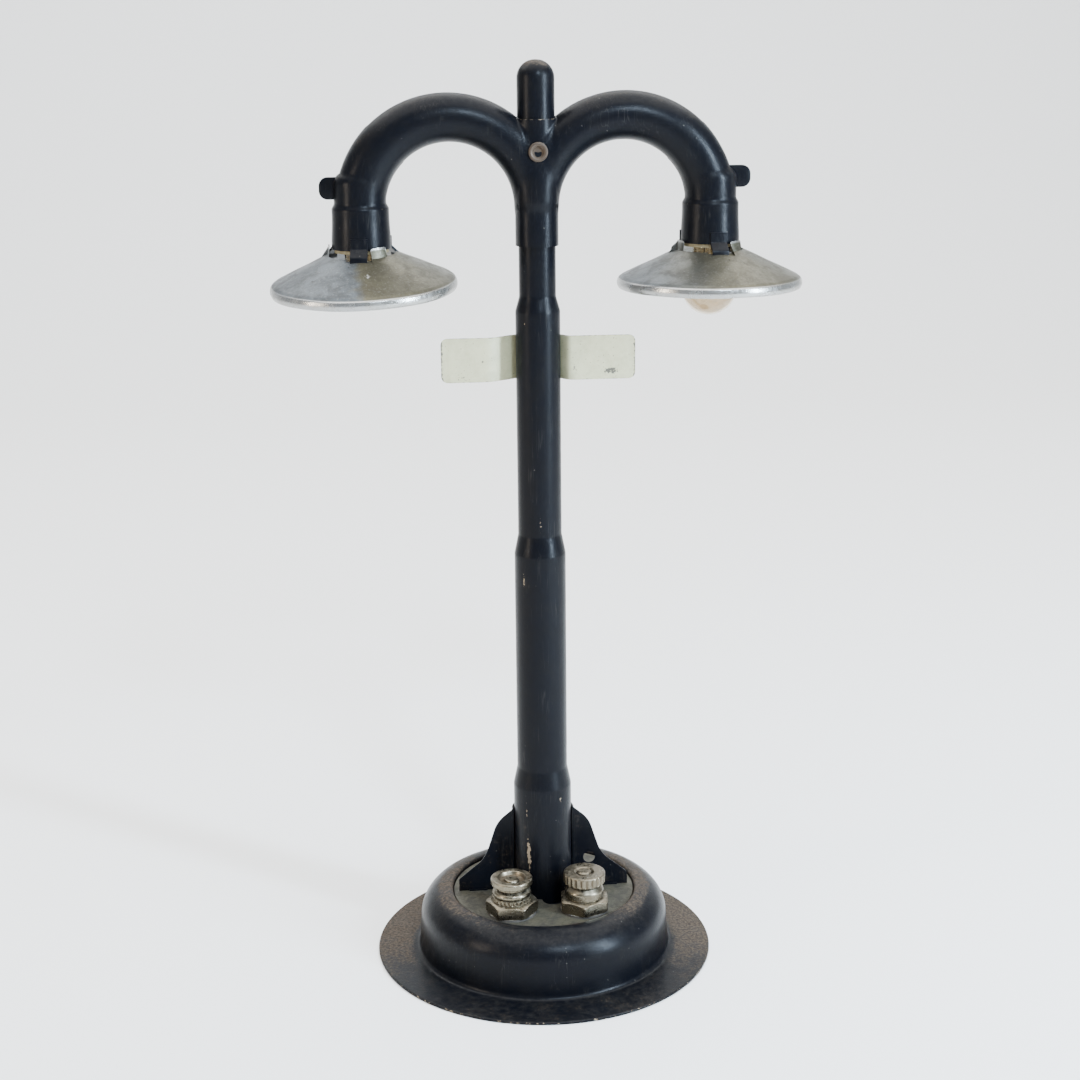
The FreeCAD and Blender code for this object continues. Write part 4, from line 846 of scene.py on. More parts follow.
@dataclass(frozen=True)
class CreamFinish:
    """Cream enamel on thin sheet: soft yellowing, dark specks and a few scuffs."""

    name: str = "cream enamel"
    colour: tuple = (0.44, 0.425, 0.265)
    shade: tuple = (0.36, 0.345, 0.215)
    dark: tuple = (0.035, 0.03, 0.025)

    def make(self, effects: Effects) -> bpy.types.Material:
        """Builds the material.

        Args:
            effects: the shared node groups.

        Returns:
            The material.
        """
        paint = Paint(self.name)
        wire, place = paint.wire, paint.place
        edge, worn = paint.attribute("edge"), paint.attribute("worn")
        cloud = paint.mask(effects.mottle, Scale=190.0, Low=0.36, High=0.66)
        colour = wire.mix(cloud, self.colour, self.shade)
        small = paint.mask(effects.specks, Scale=1500.0, Share=0.22, Size=0.24)
        large = paint.mask(effects.specks, Scale=480.0, Share=0.10, Size=0.13)
        colour = wire.coat(small, 0.62, colour, self.dark)
        colour = wire.coat(large, 0.8, colour, self.dark)
        scuff = paint.mask(effects.wear, Edge=worn, Scale=1500.0, Amount=0.5)
        rim = paint.mask(effects.wear, Edge=edge, Scale=1300.0, Amount=0.34)
        gone = wire.math("MAXIMUM", scuff, rim)
        colour = wire.coat(gone, 0.9, colour, self.dark)
        rough = wire.math("ADD", wire.ramp(cloud, 0.0, 1.0, 0.34, 0.5),
                          wire.math("MULTIPLY", gone, 0.3))
        paint.set(Base_Color=colour, Roughness=rough)
        peel = wire.group(effects.crackle, Vector=place, Scale=1100.0, Peel=0.6, Craze=0.2)
        height = wire.math("SUBTRACT", peel.outputs["Height"],
                           wire.math("MULTIPLY", gone, 0.5))
        paint.bump(height, 0.00006)
        return paint.material


@dataclass(frozen=True)
class GlassFinish:
    """Clear lamp glass, faintly ambered, with a little grime in its gloss."""

    name: str
    tint: tuple = (0.66, 0.57, 0.43)
    roughness: float = 0.02

    def make(self, effects: Effects) -> bpy.types.Material:
        """Builds the material.

        Args:
            effects: the shared node groups.

        Returns:
            The material.
        """
        paint = Paint(self.name)
        wire, place = paint.wire, paint.place
        haze = paint.mask(effects.mottle, Scale=260.0, Low=0.42, High=0.8)
        colour = wire.coat(haze, 0.35, self.tint, (0.40, 0.28, 0.17))
        rough = wire.ramp(haze, 0.0, 1.0, self.roughness, self.roughness + 0.10)
        paint.set(Base_Color=colour, Roughness=rough)
        paint.shader.inputs["Transmission Weight"].default_value = 1.0
        paint.shader.inputs["IOR"].default_value = 1.47
        return paint.material


# ------------------------------------------------------------------ workshop


@dataclass
class Workshop:
    """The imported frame, the finishes by material slot, and how pieces join them."""

    frame: dict
    effects: Effects = field(default_factory=Effects)
    paints: dict[str, bpy.types.Material] = field(default_factory=dict)

    def __post_init__(self) -> None:
        """Makes every finish once."""
        finishes = {
            "black_enamel": EnamelFinish(),
            # Each shade's painted reflection turns from bluish grey to warm olive between these
            # two places along X, in metres.
            "tin_plate": TinFinish(warm_from=0.02, warm_to=0.05),
            "tin_plate_left_reflection": TinFinish("left tin plate", warm_from=-0.0475, warm_to=-0.0445),
            "nickel_plate": PlatedFinish("nickel plate", (0.165, 0.146, 0.106),
                                         (0.115, 0.092, 0.062), 0.24, 0.5),
            "brass": PlatedFinish("brass", (0.60, 0.45, 0.20), (0.20, 0.12, 0.05), 0.3, 0.6),
            "eyelet_brass": PlatedFinish("eyelet brass", (0.055, 0.040, 0.029),
                                         (0.06, 0.042, 0.028), 0.42, 0.6, 0.7),
            "spring_bronze": PlatedFinish("spring bronze", (0.58, 0.36, 0.18),
                                          (0.20, 0.10, 0.05), 0.3, 0.4),
            "solder": PlatedFinish("solder", (0.52, 0.52, 0.50), (0.22, 0.21, 0.20), 0.42,
                                   0.6),
            "filament_wire": PlatedFinish("filament wire", (0.32, 0.31, 0.30),
                                          (0.12, 0.11, 0.10), 0.35, 0.4),
            "fibre": BoardFinish("fibre", (0.040, 0.037, 0.022), (0.013, 0.012, 0.008),
                                 (0.060, 0.054, 0.036), dust_amount=0.14),
            "dark_fibre": BoardFinish("dark fibre", (0.028, 0.025, 0.022),
                                      (0.055, 0.048, 0.04)),
            "olive_liner": BoardFinish("olive liner", (0.20, 0.165, 0.085),
                                       (0.13, 0.105, 0.055), dust_amount=0.2),
            "wire_cover": BoardFinish("wire cover", (0.03, 0.025, 0.02), (0.06, 0.05, 0.04)),
            "cream_enamel": CreamFinish(),
            "bulb_glass": GlassFinish("bulb glass"),
            "bead_glass": GlassFinish("bead glass", (0.75, 0.82, 0.78), 0.08),
            "dark_glass": BoardFinish("dark glass", (0.01, 0.01, 0.012), (0.02, 0.02, 0.02),
                                      roughness=0.2, dust_amount=0.1, depth=0.00001),
        }
        for slot, finish in finishes.items():
            self.paints[slot] = finish.make(self.effects)

    def dress_nodes(self) -> None:
        """Gives every designed piece the finish of its own slot."""
        for part in self.frame["record"]["subparts"]:
            item = self.frame["nodes"][part["node"]]
            item.data.materials.clear()
            item.data.materials.append(self.paints[part["material_slot"]])

    def place(self, item: bpy.types.Object, node: str, paint: str | None = None) -> None:
        """Puts a finer piece in the place of a designed one.

        Args:
            item: the finer piece.
            node: the designed piece that it stands for.
            paint: a finish other than that of the node's slot.
        """
        slot = next(part["material_slot"] for part in self.frame["record"]["subparts"]
                    if part["node"] == node)
        body = next(name for name, nodes in
                    self.frame["record"]["behaviour"]["bodies"].items() if node in nodes)
        item.data.materials.clear()
        item.data.materials.append(self.paints[paint or slot])
        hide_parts(node)
        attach(item, body)


    def close(self, skin: Skin, node: str, smooth: float = 35.0,
              weld: float = 0.002) -> None:
        """Builds a closed skin, turns its faces outwards and puts it in a node's place.

        Args:
            skin: the gathered grids.
            node: the designed piece that it stands for.
            smooth: the angle in degrees up to which faces shade as one.
            weld: the distance in millimetres under which points merge.
        """
        item = skin.build(node.capitalize(), weld, smooth)
        orient(item)
        self.place(item, node)


def bump(value: Array, centre: float, width: float) -> Array:
    """A smooth hill of height 1 at centre that falls to 0 a width away.

    Args:
        value: where to read it.
        centre: its middle.
        width: how far it reaches each way.

    Returns:
        The hill's height at each value.
    """
    return 1 - smoothstep(0.0, width, np.abs(np.asarray(value, float) - centre))


def ribbon(path: Array, width: Array | float, thick: float, aside: Array,
           corner: float = 0.12) -> Array:
    """Carries a rounded rectangle along a path.

    Args:
        path: (n, 3) middle line.
        width: the rectangle's size along aside, or one per point.
        thick: its size square to aside and to the path.
        aside: the direction of its width, square to the path.
        corner: how round its four edges are.

    Returns:
        An (n, 16, 3) grid for a wrapped skin.
    """
    tangent = np.gradient(path, axis=0)
    tangent /= np.linalg.norm(tangent, axis=1, keepdims=True)
    normal = np.cross(tangent, aside)
    angle = np.linspace(0, math.pi / 2, 4)
    arc = np.stack([np.cos(angle), np.sin(angle)], 1)
    turns = [(1, 1, arc), (-1, 1, arc[::-1]), (-1, -1, arc), (1, -1, arc[::-1])]
    half = np.broadcast_to(np.asarray(width, float), len(path)) / 2
    across = np.concatenate([sx * np.ones(4) for sx, _, _ in turns])
    curl = np.concatenate([sx * part[:, 0] for sx, _, part in turns])
    rise = np.concatenate([sy * (thick / 2 - corner + corner * part[:, 1])
                           for _, sy, part in turns])
    spread = across[None] * np.maximum(half - corner, 0.01)[:, None] + corner * curl[None]
    return path[:, None] + spread[..., None] * aside + rise[None, :, None] * normal[:, None]


def merge(item: bpy.types.Object, other: bpy.types.Object,
          smooth: float = 35.0) -> bpy.types.Object:
    """Adds another object's mesh to this one's and removes the other.

    Args:
        item: the object that stays.
        other: the object whose mesh is taken in.
        smooth: the angle in degrees up to which faces shade as one.

    Returns:
        The object that stays.
    """
    work = bmesh.new()
    work.from_mesh(item.data)
    work.from_mesh(other.data)
    work.to_mesh(item.data)
    work.free()
    bpy.data.objects.remove(other)
    item.data.shade_smooth()
    item.data.set_sharp_from_angle(angle=math.radians(smooth))
    return item


# ------------------------------------------------------------------ base


@dataclass
class Base:
    """The stamped base shell and the bell-shaped bracket that stands in it."""

    shop: Workshop
    flange: float = 46.9
    foot: float = 35.2
    shoulder: float = 34.1
    recess: float = 25.5
    top: float = 18.0
    floor: float = 15.5
    wall: float = 0.8
    plate_top: float = 17.0
    sheet: float = 0.9
    tube: float = 8.0
    hole: tuple = (13.0, 25.6, 1.65)
    toe: float = 23.8
    bracket_top: float = 41.4
    tab_out: float = 18.4

    def build(self) -> None:
        """Builds both pieces."""
        self._shell()
        self._bracket()

    def _shell(self) -> None:
        """The shell: one closed profile of flange, wall, dome, lip and floor, turned round."""
        wall = self.wall
        profile = rounded_profile([
            (7.0, self.floor), (self.recess, self.floor, 0.5),
            (self.recess, self.top, 0.9), (self.shoulder, self.top, 8.0),
            (self.foot, wall, 1.3), (self.flange, wall, 0.3), (self.flange, 0, 0.25),
            (self.foot - wall, 0, 2.1), (self.shoulder - wall, self.top - wall, 7.2),
            (self.recess + wall, self.top - wall, 0.2),
            (self.recess + wall, self.floor - wall, 0.2),
            (7.0, self.floor - wall)], 0.5, True)
        grid = lathe(profile, 192)
        radius, height = profile[:, 0], profile[:, 1]
        angle = np.linspace(0, TAU, 192, endpoint=False)[None]
        rim = bump(radius, self.flange, 0.6) * (height < 1.2)
        lip = bump(radius, self.recess + 0.4, 1.2) * smoothstep(17.3, 17.9, height)
        # Painted highlight: a thin pale line along the fillet at the dome's foot, given as an
        # edge value.
        fillet = bump(np.hypot(radius - 36.0, height - 1.0), 0, 1.1)
        edge = np.maximum.reduce([rim * 0.5, lip * 0.42, fillet * 0.30])[:, None]
        # Painted reflection: the flange is brown at the sides and back, where it mirrors brown
        # surroundings, and black in front, where it mirrors the dome.
        away = 0.10 + 0.78 * smoothstep(0.42, 0.80, np.abs(np.sin(angle / 2 + 0.04)))
        flat = smoothstep(self.foot + 0.4, self.foot + 3.0, radius) * (height > 0.4)
        dome = smoothstep(16.6, 17.9, height) * (radius > self.recess - 0.1)
        aside = smoothstep(0.45, 0.95, np.abs(np.sin(angle))) * 0.55 + 0.12
        # The worn value here is the flange's painted reflection, plus wear on the dome's top
        # edge at its sides.
        worn = np.maximum(flat[:, None] * away, dome[:, None] * aside)
        skin = Skin()
        skin.add(grid, wrap=True, edge=edge * np.ones_like(angle), worn=worn, flip=True)
        self.shop.place(skin.build("Base_shell"), "base_shell")

    def _wing(self, side: Side, rounded: float) -> Array:
        """One wing: rays from its middle, or its hole's edge, out to its bell outline.

        Args:
            side: which wing.
            rounded: how round its toe is.

        Returns:
            A (rings, rays, 3) grid in the plane y = 0.
        """
        low, across, level, radius = self.plate_top, *self.hole
        radius = radius if side is Side.RIGHT else 0.02
        outline = rounded_profile([
            (self.tube + 0.1, low), (self.toe, low), (self.toe, low + 3.6, rounded),
            (16.4, low + 9.6, 9.6), (12.9, low + 20.4, 9.0),
            (self.tube + 0.1, self.bracket_top)], 0.4, True)[:-1]
        angle = np.arctan2(outline[:, 1] - level, outline[:, 0] - across)
        inner = np.stack([across + radius * np.cos(angle), level + radius * np.sin(angle)], 1)
        share = np.linspace(0, 1, 9)[:, None, None]
        flat = inner * (1 - share) + outline * share
        x = flat[..., 0] * side.value
        return np.stack([x, np.zeros_like(x), flat[..., 1]], -1)

    def _bracket(self) -> None:
        """The bracket: two flat wings, the half channel behind the pole, and two tabs."""
        skin = Skin()
        for side, rounded in ((Side.LEFT, 1.1), (Side.RIGHT, 2.2)):
            grid = self._wing(side, rounded)
            rim = np.zeros(grid.shape[:2])
            rim[-1] = 0.45
            skin.add(grid, wrap=True, edge=rim, worn=0.10, flip=side is Side.LEFT)
        wings = thicken(skin.build("Foot_bracket"), self.sheet, outward=0.0)
        self._soften(wings)
        angle = np.linspace(-0.056, math.pi + 0.056, 40)
        height = np.linspace(self.plate_top, self.bracket_top, 12)[:, None]
        mid = self.tube + self.sheet / 2
        x = mid * np.cos(angle) * np.ones_like(height)
        y = mid * np.sin(angle) * np.ones_like(height)
        channel = Skin()
        channel.add(np.stack([x, y, height * np.ones_like(x)], -1), edge=0.1)
        merge(wings, thicken(channel.build("channel"), self.sheet, outward=0.0))
        tabs = Skin()
        for side in Side:
            path = np.array([[0, 0, 17.4], [0, 0, 14.6], [0, 0.15, 14.35], [0, 3.8, 14.25]])
            path = resample(path + (side.value * self.tab_out, 0, 0), 0.3)
            tabs.add(ribbon(path, 5.0, self.sheet, np.array([1.0, 0, 0])), wrap=True,
                     caps=True, flip=True)
        merge(wings, tabs.build("tabs"))
        self.shop.place(wings, "foot_bracket")

    @staticmethod
    def _soften(item: bpy.types.Object) -> None:
        """Rounds a sheet's arrises by a bevel and keeps the result as a plain mesh."""
        bevel = item.modifiers.new("arris", "BEVEL")
        bevel.width = 0.14 * MM
        bevel.segments = 2
        bevel.limit_method = "ANGLE"
        bevel.angle_limit = math.radians(50)
        settle(item, 40.0)


# ------------------------------------------------------------------ pole and sign


@dataclass
class Pole:
    """The swaged tube with its finial, and the sign bent round its back."""

    shop: Workshop
    radii: tuple = (7.95, 6.9, 5.85, 4.8)
    wall: float = 0.6
    foot: float = 15.5
    top: float = 244.0
    sign_low: float = 162.4
    sign_tall: float = 11.6
    sign_half: float = 25.5
    sign_thick: float = 0.45

    def build(self) -> None:
        """Builds the tube and the sign."""
        self._tube()
        self._sign()

    def _profile(self, inset: float) -> Array:
        """The tube's four diameters and rounded steps, drawn in by inset."""
        first, second, third, last = (radius - inset for radius in self.radii)
        top = self.top - inset
        crown = last - 0.25
        return rounded_profile([
            (first, self.foot), (first, 49.1, 3.0), (second, 54.2, 3.0), (second, 115.4, 3.0),
            (third, 120.7, 3.0), (third, 180.7, 3.0), (last, 184.4, 3.0), (last, top, crown),
            (0.05, top)], 0.8)

    def _tube(self) -> None:
        """The tube: outside and inside profiles joined at the foot and turned round."""
        outer = self._profile(0.0)
        inner = self._profile(self.wall)[::-1]
        profile = np.concatenate([inner, outer])
        segments = 120
        grid = lathe(profile, segments)
        angle = np.linspace(0, TAU, segments, endpoint=False)[None]
        height = profile[:, 1:]
        outside = np.concatenate([np.zeros(len(inner)), np.ones(len(outer))])[:, None]
        turn = (np.degrees(angle) + 180) % 360 - 180
        streak = (bump(turn, -34.0, 9.5) * bump(height, 30, 10)
                  + 0.72 * bump(turn, -38.0, 4.5) * bump(height, 44, 17)
                  + 0.55 * bump(turn, -37.0, 5.0) * bump(height, 21, 6))
        upper = bump(turn, -45.0, 6.0) * bump(height, 109, 9)
        brush = bump(turn, -4.0, 12.0) * bump(height, 125, 11) * 0.5
        spot = bump(turn, 34.0, 7.0) * bump(height, 46, 2.0)
        small = bump(turn, -40.0, 8.0) * bump(height, 178, 1.5)
        crown = bump(height, 243.6, 1.6) * (0.55 + 0.25 * np.cos(angle + 0.4))
        steps = 0.28 * np.maximum.reduce([bump(height, level, 1.4) for level in
                                          (49.3, 115.6, 180.9)])
        low_mark = bump(turn, 40.0, 8.0) * bump(height, 27.5, 2.2)
        edge = np.maximum.reduce([streak * 0.92, upper * 0.66, spot * 0.85, small * 0.7,
                                  brush, low_mark * 0.6, crown * 0.25,
                                  steps + 0 * angle]) * outside
        worn = np.maximum(crown * 0.9, 0.16 * bump(turn, -60, 50) * bump(height, 28, 24))
        dent = 0.22 * bump(turn, -52.0, 26.0) * bump(height, 242.3, 1.3) * outside
        grid = grid - dent[..., None] * grid * (1, 1, 0) / np.maximum(
            np.linalg.norm(grid[..., :2], axis=-1), 0.5)[..., None]
        skin = Skin()
        skin.add(grid, wrap=True, edge=np.minimum(edge, 1), worn=worn * outside, caps=True,
                 flip=True)
        self.shop.place(skin.build("Pole_tube"), "pole_tube")

    def _sign(self) -> None:
        """The sign: a plan path of two panels and a saddle, drawn up to rounded ends."""
        saddle = self.radii[2] + 0.02 + self.sign_thick / 2
        half, left, right = self.sign_half, math.radians(35), math.radians(55)
        left_x = -(saddle + 1.2 * math.cos(left)) / math.sin(left)
        right_x = (saddle + 0.8 * math.cos(right)) / math.sin(right)
        apex_x = saddle * (math.cos(left) - math.cos(right)) / math.sin(left + right)
        apex_y = (saddle - apex_x * math.sin(right)) / math.cos(right)
        path = rounded_profile([(-half, -1.2), (left_x, -1.2, 6.0), (apex_x, apex_y, saddle),
                                (right_x, -0.8, 2.0), (half, -0.8)], 0.5)
        corner = 1.7
        ends = np.sin(np.linspace(0, math.pi / 2, 8)) ** 2 * corner
        extra = np.concatenate([ends[1:-1] - half, half - ends[1:-1][::-1]])
        level = np.where(extra < 0, -1.2, -0.8)
        path = np.concatenate([path, np.stack([extra, level], 1)])
        path = path[np.argsort(path[:, 0], kind="stable")]
        near = np.minimum(path[:, 0] + half, half - path[:, 0])
        lost = np.maximum(corner - near, 0)
        reach = self.sign_tall / 2 - corner + np.sqrt(np.maximum(corner**2 - lost**2, 0))
        share = np.linspace(-1, 1, 25)[:, None]
        height = self.sign_low + self.sign_tall / 2 + share * reach[None]
        x = np.broadcast_to(path[:, 0], height.shape)
        bow = 0.10 * np.sin(x * 0.21) * share
        y = path[:, 1][None] + bow * (np.abs(x) > 9)
        rim = np.maximum(smoothstep(0.9, 1.0, np.abs(share)), smoothstep(1.2, 0.1, near)[None])
        scuff = bump(x, 19.0, 5.0) * bump(height, 164.5, 2.2) * 0.75
        scuff = np.maximum(scuff, bump(x, 9.5, 2.5) * bump(height, 165.5, 4.0) * 0.5)
        scuff = np.maximum(scuff, bump(x, -20.0, 5.0) * bump(height, 163.4, 1.6) * 0.5)
        skin = Skin()
        skin.add(np.stack([x, y, height], -1), edge=rim * 0.8, worn=scuff)
        sign = thicken(skin.build("Street_sign"), self.sign_thick, outward=0.0)
        self.shop.place(sign, "street_sign")


# ------------------------------------------------------------------ head


@dataclass
class Head:
    """The two stampings that make the collar, both arms, the caps, ears and shade tabs.

    Each half of a stamping is one grid: its columns run from the collar's middle, over the
    arm, to the cap's mouth, and its rows from the inner silhouette to the outer one.
    """

    shop: Workshop
    arm: float = 22.5
    level: float = 207.6
    start: float = 5.75
    end: float = 6.5
    wall: float = 0.6
    collar: float = 5.55
    low: float = 197.6
    high: float = 229.5
    out: float = 45.0
    cap: float = 7.6
    knuckle: float = 6.65
    mouth: float = 197.7
    blend: float = 2.4
    elbow: float = 6.42
    neck_top: float = 217.0
    eyelet: float = 221.5

    def build(self) -> None:
        """Builds both stampings and the eyelet that holds them together."""
        for front in (True, False):
            self._shell(front)
        self._eyelet()

    def _cap_radius(self, height: Array) -> Array:
        """The cap's radius at a level: mouth, shoulder, neck, and the knuckle's round top."""
        shoulder = smoothstep(209.2, 207.6, height)
        flare = 0.30 * smoothstep(198.0, 206.0, height)
        radius = self.knuckle + (self.cap - flare - self.knuckle) * shoulder
        over = np.clip(height - 213.8, 0, 3.2)
        return radius - 3.2 + np.sqrt(3.2**2 - over**2)

    def _stations(self) -> tuple[Array, Array]:
        """The two ends of every column, as (across, up) points.

        Returns:
            The inner ends along the collar's side, the arm's inside and the cap, and the
            outer ends along the collar's lip, the arm's back and the cap.
        """
        meet = math.radians(50.6)
        inner, outer = [], []
        foot = self.collar
        share = np.linspace(0, 1, 26)[:-1]
        inner.append(np.stack([foot * np.sin(share * math.pi / 2),
                               np.full(25, self.low)], 1))
        outer.append(np.stack([2.6 * share, np.full(25, self.high)], 1))
        share = np.linspace(0, 1, 19)[:-1]
        side = foot + (self.start - foot) * smoothstep(0.75, 1, share)
        inner.append(np.stack([side, self.low + (self.level - self.low) * share], 1))
        outer.append(np.stack([2.6 + 1.75 * share, np.full(18, self.high)], 1))
        share = np.linspace(0, 1, 71)[:-1]
        inner.append(self._arc(share * math.pi / 2, -1))
        outer.append(self._arc(meet + share * (math.pi / 2 - meet), 1))
        turn = math.pi / 2 + np.linspace(0, math.pi / 4, 31)[:-1]
        inner.append(self._arc(turn, -1))
        outer.append(self._arc(turn, 1))
        last_in, last_out = self._arc(np.array([0.75 * math.pi]), -1), self._arc(
            np.array([0.75 * math.pi]), 1)
        share = np.linspace(0, 1, 27)[:-1]
        for ends, last, way in ((inner, last_in, -1), (outer, last_out, 1)):
            ends.append(self._edge(last[0, 1] + (self.neck_top - last[0, 1]) * share, way))
        heights = np.concatenate([np.linspace(self.neck_top, 210.0, 20),
                                  np.linspace(209.7, 206.4, 18),
                                  np.linspace(206.0, self.mouth, 14)])
        inner.append(self._edge(heights, -1))
        outer.append(self._edge(heights, 1))
        return np.concatenate(inner), np.concatenate(outer)

    def _tube(self, turn: Array) -> Array:
        """The arm's tube radius, which grows evenly from collar to cap."""
        return self.start + (self.end - self.start) * np.clip(turn / math.pi, 0, 1)

    def _arc(self, turn: Array, way: int) -> Array:
        """Points on the arm's inside (-1) or back (1) at turns from the collar."""
        reach = self.arm + way * self._tube(turn)
        return np.stack([self.arm - reach * np.cos(turn), self.level + reach * np.sin(turn)], 1)

    def _edge(self, height: Array, way: int) -> Array:
        """Points on the silhouette of arm or cap, whichever stands out, at given levels."""
        rise = np.maximum(height - self.level, 0)
        reach = self.arm + way * self.elbow
        arm = self.arm + np.sqrt(np.maximum(reach**2 - rise**2, 0))
        cap = self.out + way * self._cap_radius(height)
        cap = np.where(height > self.neck_top, self.arm if way > 0 else 1e3, cap)
        choose = np.maximum if way > 0 else np.minimum
        arm = np.where(height < self.level, self.out + way * self.elbow, arm)
        return np.stack([choose(arm, cap), height], 1)

    def _depth(self, x: Array, z: Array) -> Array:
        """How far the stamping stands off the split plane over a point of it.

        Each tube gives a half circle over its own width and a falling slope beyond it;
        the arms, the collar and the cap are joined by rounded maxima.
        """
        def dome(gap: Array, radius: Array) -> Array:
            """A half circle across the tube, and a slope down beyond its radius."""
            round_part = np.sqrt(np.maximum(radius**2 - gap**2, 0))
            return np.where(gap < radius, round_part, -3 * (gap - radius))

        reach = np.hypot(x - self.arm, z - self.level)
        turn = np.arctan2(z - self.level, self.arm - x)
        right = dome(np.abs(reach - self.arm), self._tube(np.maximum(turn, 0)))
        below = z < self.level
        fade = smoothstep(self.level, self.level - 1.5, z)
        near = dome(np.abs(x), self.start - (self.start - self.collar) * fade)
        far = dome(np.abs(x - self.out), self.elbow + 0 * x)
        right = np.where(below, np.where(x < self.arm, near, far), right)
        reach_left = np.hypot(x + self.arm, z - self.level)
        turn_left = np.arctan2(z - self.level, x + self.arm)
        left = dome(np.abs(reach_left - self.arm), self._tube(np.maximum(turn_left, 0)))
        left = np.where(below, -9.0, left)
        body = dome(np.abs(x), self.collar + 0 * x) - 7 * smoothstep(229.6, 230.6, z)
        body = np.where(x < self.arm, body, -20.0)
        edge = np.clip(np.minimum(right, 3.0) / 3.0, 0.05, 1)
        depth = smooth_max(right, left, self.blend * np.clip(np.minimum(right, left) / 3, 0, 1))
        depth = smooth_max(depth, body, self.blend * 0.7 * edge * np.clip(body / 3, 0, 1))
        cap = dome(np.abs(x - self.out), self._cap_radius(z))
        cap = np.where((z > self.neck_top) | (x < self.arm), -20.0, cap)
        return np.maximum(smooth_max(depth, cap, 0.8 * np.clip(depth / 2, 0, 1)), 0)

    def _shell(self, front: bool) -> None:
        """One stamping, front or back.

        Args:
            front: whether it is the one towards the front.
        """
        inner, outer = self._stations()
        rows = 44
        share = (0.5 - 0.5 * np.cos(np.linspace(0, math.pi, rows)))[:, None]
        x = inner[:, 0] + (outer[:, 0] - inner[:, 0]) * share
        z = inner[:, 1] + (outer[:, 1] - inner[:, 1]) * share
        depth = self._depth(x, z)
        way = -1 if front else 1
        column = np.arange(len(inner))[None] * np.ones_like(x)
        along = np.hypot(x - outer[:, 0], z - outer[:, 1])
        arm_part = smoothstep(44, 60, column) * smoothstep(190, 176, column)
        ridge = smoothstep(1.0, 0.0, along) * arm_part * 0.20
        lip = smoothstep(0.6, 0.0, along) * smoothstep(47, 41, column) * 0.62
        shoulder = bump(z, 207.9, 0.8) * (column > 185) * 0.36
        mouth = bump(z, self.mouth, 0.4) * (column > 185) * 0.3
        foot = bump(z, self.low, 0.5) * smoothstep(44, 30, column) * 0.3
        edge = np.maximum.reduce([ridge, lip, shoulder, mouth, foot])
        worn = np.maximum(smoothstep(2.6, 0.2, along) * arm_part * 0.14,
                          0.14 * bump(np.hypot(x, z - self.eyelet), 3.5, 3.0))
        skin = Skin()
        for side in Side:
            grid = np.stack([side.value * x, way * depth, z], -1)
            skin.add(grid, edge=edge, worn=worn, flip=front == (side is Side.LEFT))
        name = "Head_front" if front else "Head_back"
        shell = thicken(skin.build(name, weld=0.004, smooth=40.0), self.wall, 40.0, even=False)
        self.shop.place(merge(shell, self._trim(front)), f"{name.lower()}_shell")

    def _trim(self, front: bool) -> bpy.types.Object:
        """The clamping ears and shade tabs that belong to one stamping."""
        skin = Skin()
        way = -1 if front else 1
        for side in Side:
            height = 214.3 if side is Side.RIGHT else 212.9
            share = np.concatenate([np.linspace(49.5, 53.1, 8), 53.1 + 2.2 * np.sin(
                np.linspace(0, math.pi / 2, 11)[1:])])
            lost = np.clip(share - 53.1, 0, 2.2)
            tall = 5.6 - 2 * (2.2 - np.sqrt(np.maximum(2.2**2 - lost**2, 0)))
            path = np.stack([side.value * share, np.full_like(share, way * self.wall / 2),
                             np.full_like(share, height)], 1)
            skin.add(ribbon(path, tall, self.wall, np.array([0, 0, 1.0])), wrap=True,
                     caps=True, edge=0.12)
            for turn in (side.tab_turn, side.tab_turn + 120, side.tab_turn + 240):
                if (math.cos(math.radians(turn)) > 0) is front:
                    skin.add(self._tab(side, turn), wrap=True, caps=True, edge=0.1)
        trim = skin.build("trim")
        orient(trim)
        return trim

    def _tab(self, side: Side, turn: float) -> Array:
        """One shade tab: out from the cap's edge, down through a notch and hooked under."""
        slope = 7.0 / (23.9 - 0.5 - 8.8)
        angle = math.radians(turn)
        shift = 0.0
        if side is Side.LEFT:
            drop = math.sin(math.radians(LEAN_FRONT)) * math.cos(angle)
            side_drop = math.sin(math.radians(LEAN_LEFT)) * math.sin(angle)
            shift = LEAN_LIFT - (drop - side_drop) * 10.5
        under = 195.7 - 0.5 * math.hypot(1, slope) - (0.65 if side is Side.RIGHT else 0.8)
        path = rounded_profile([
            (7.3, 200.7), (7.3, 198.1, 0.6), (9.45, 196.1, 0.6),
            (9.55, under - 0.75 * slope + shift, 0.45),
            (11.5, under - 2.7 * slope + shift)], 0.2)
        out = np.array([math.sin(angle), -math.cos(angle), 0.0])
        aside = np.array([math.cos(angle), math.sin(angle), 0.0])
        line = path[:, :1] * out + path[:, 1:] * np.array([0, 0, 1.0])
        return ribbon(line + (side.value * self.out, 0, 0), 4.4, self.wall, aside)

    def _eyelet(self) -> None:
        """The eyelet: a rolled ring at each end of a hollow barrel through the head."""
        profile = rounded_profile([
            (0.05, 5.75), (0.9, 5.7, 0.3), (1.25, 5.9, 0.2), (1.45, 6.35, 0.2),
            (1.9, 6.55, 0.3), (2.5, 6.5, 0.35), (2.5, 5.85, 0.15), (1.6, 5.85, 0.1),
            (1.6, 0.0)], 0.12)
        full = np.concatenate([profile, profile[::-1] * (1, -1)])
        hollow = smoothstep(2.2, 1.2, full[:, 0]) * smoothstep(0.2, 0.9, full[:, 0])
        turned = lathe(full, 56)
        grid = np.stack([turned[..., 0], -turned[..., 2], turned[..., 1] + self.eyelet], -1)
        skin = Skin()
        skin.add(grid, wrap=True, worn=hollow[:, None], caps=True)
        self.shop.close(skin, "head_eyelet", smooth=45.0)


# ------------------------------------------------------------------ lamps


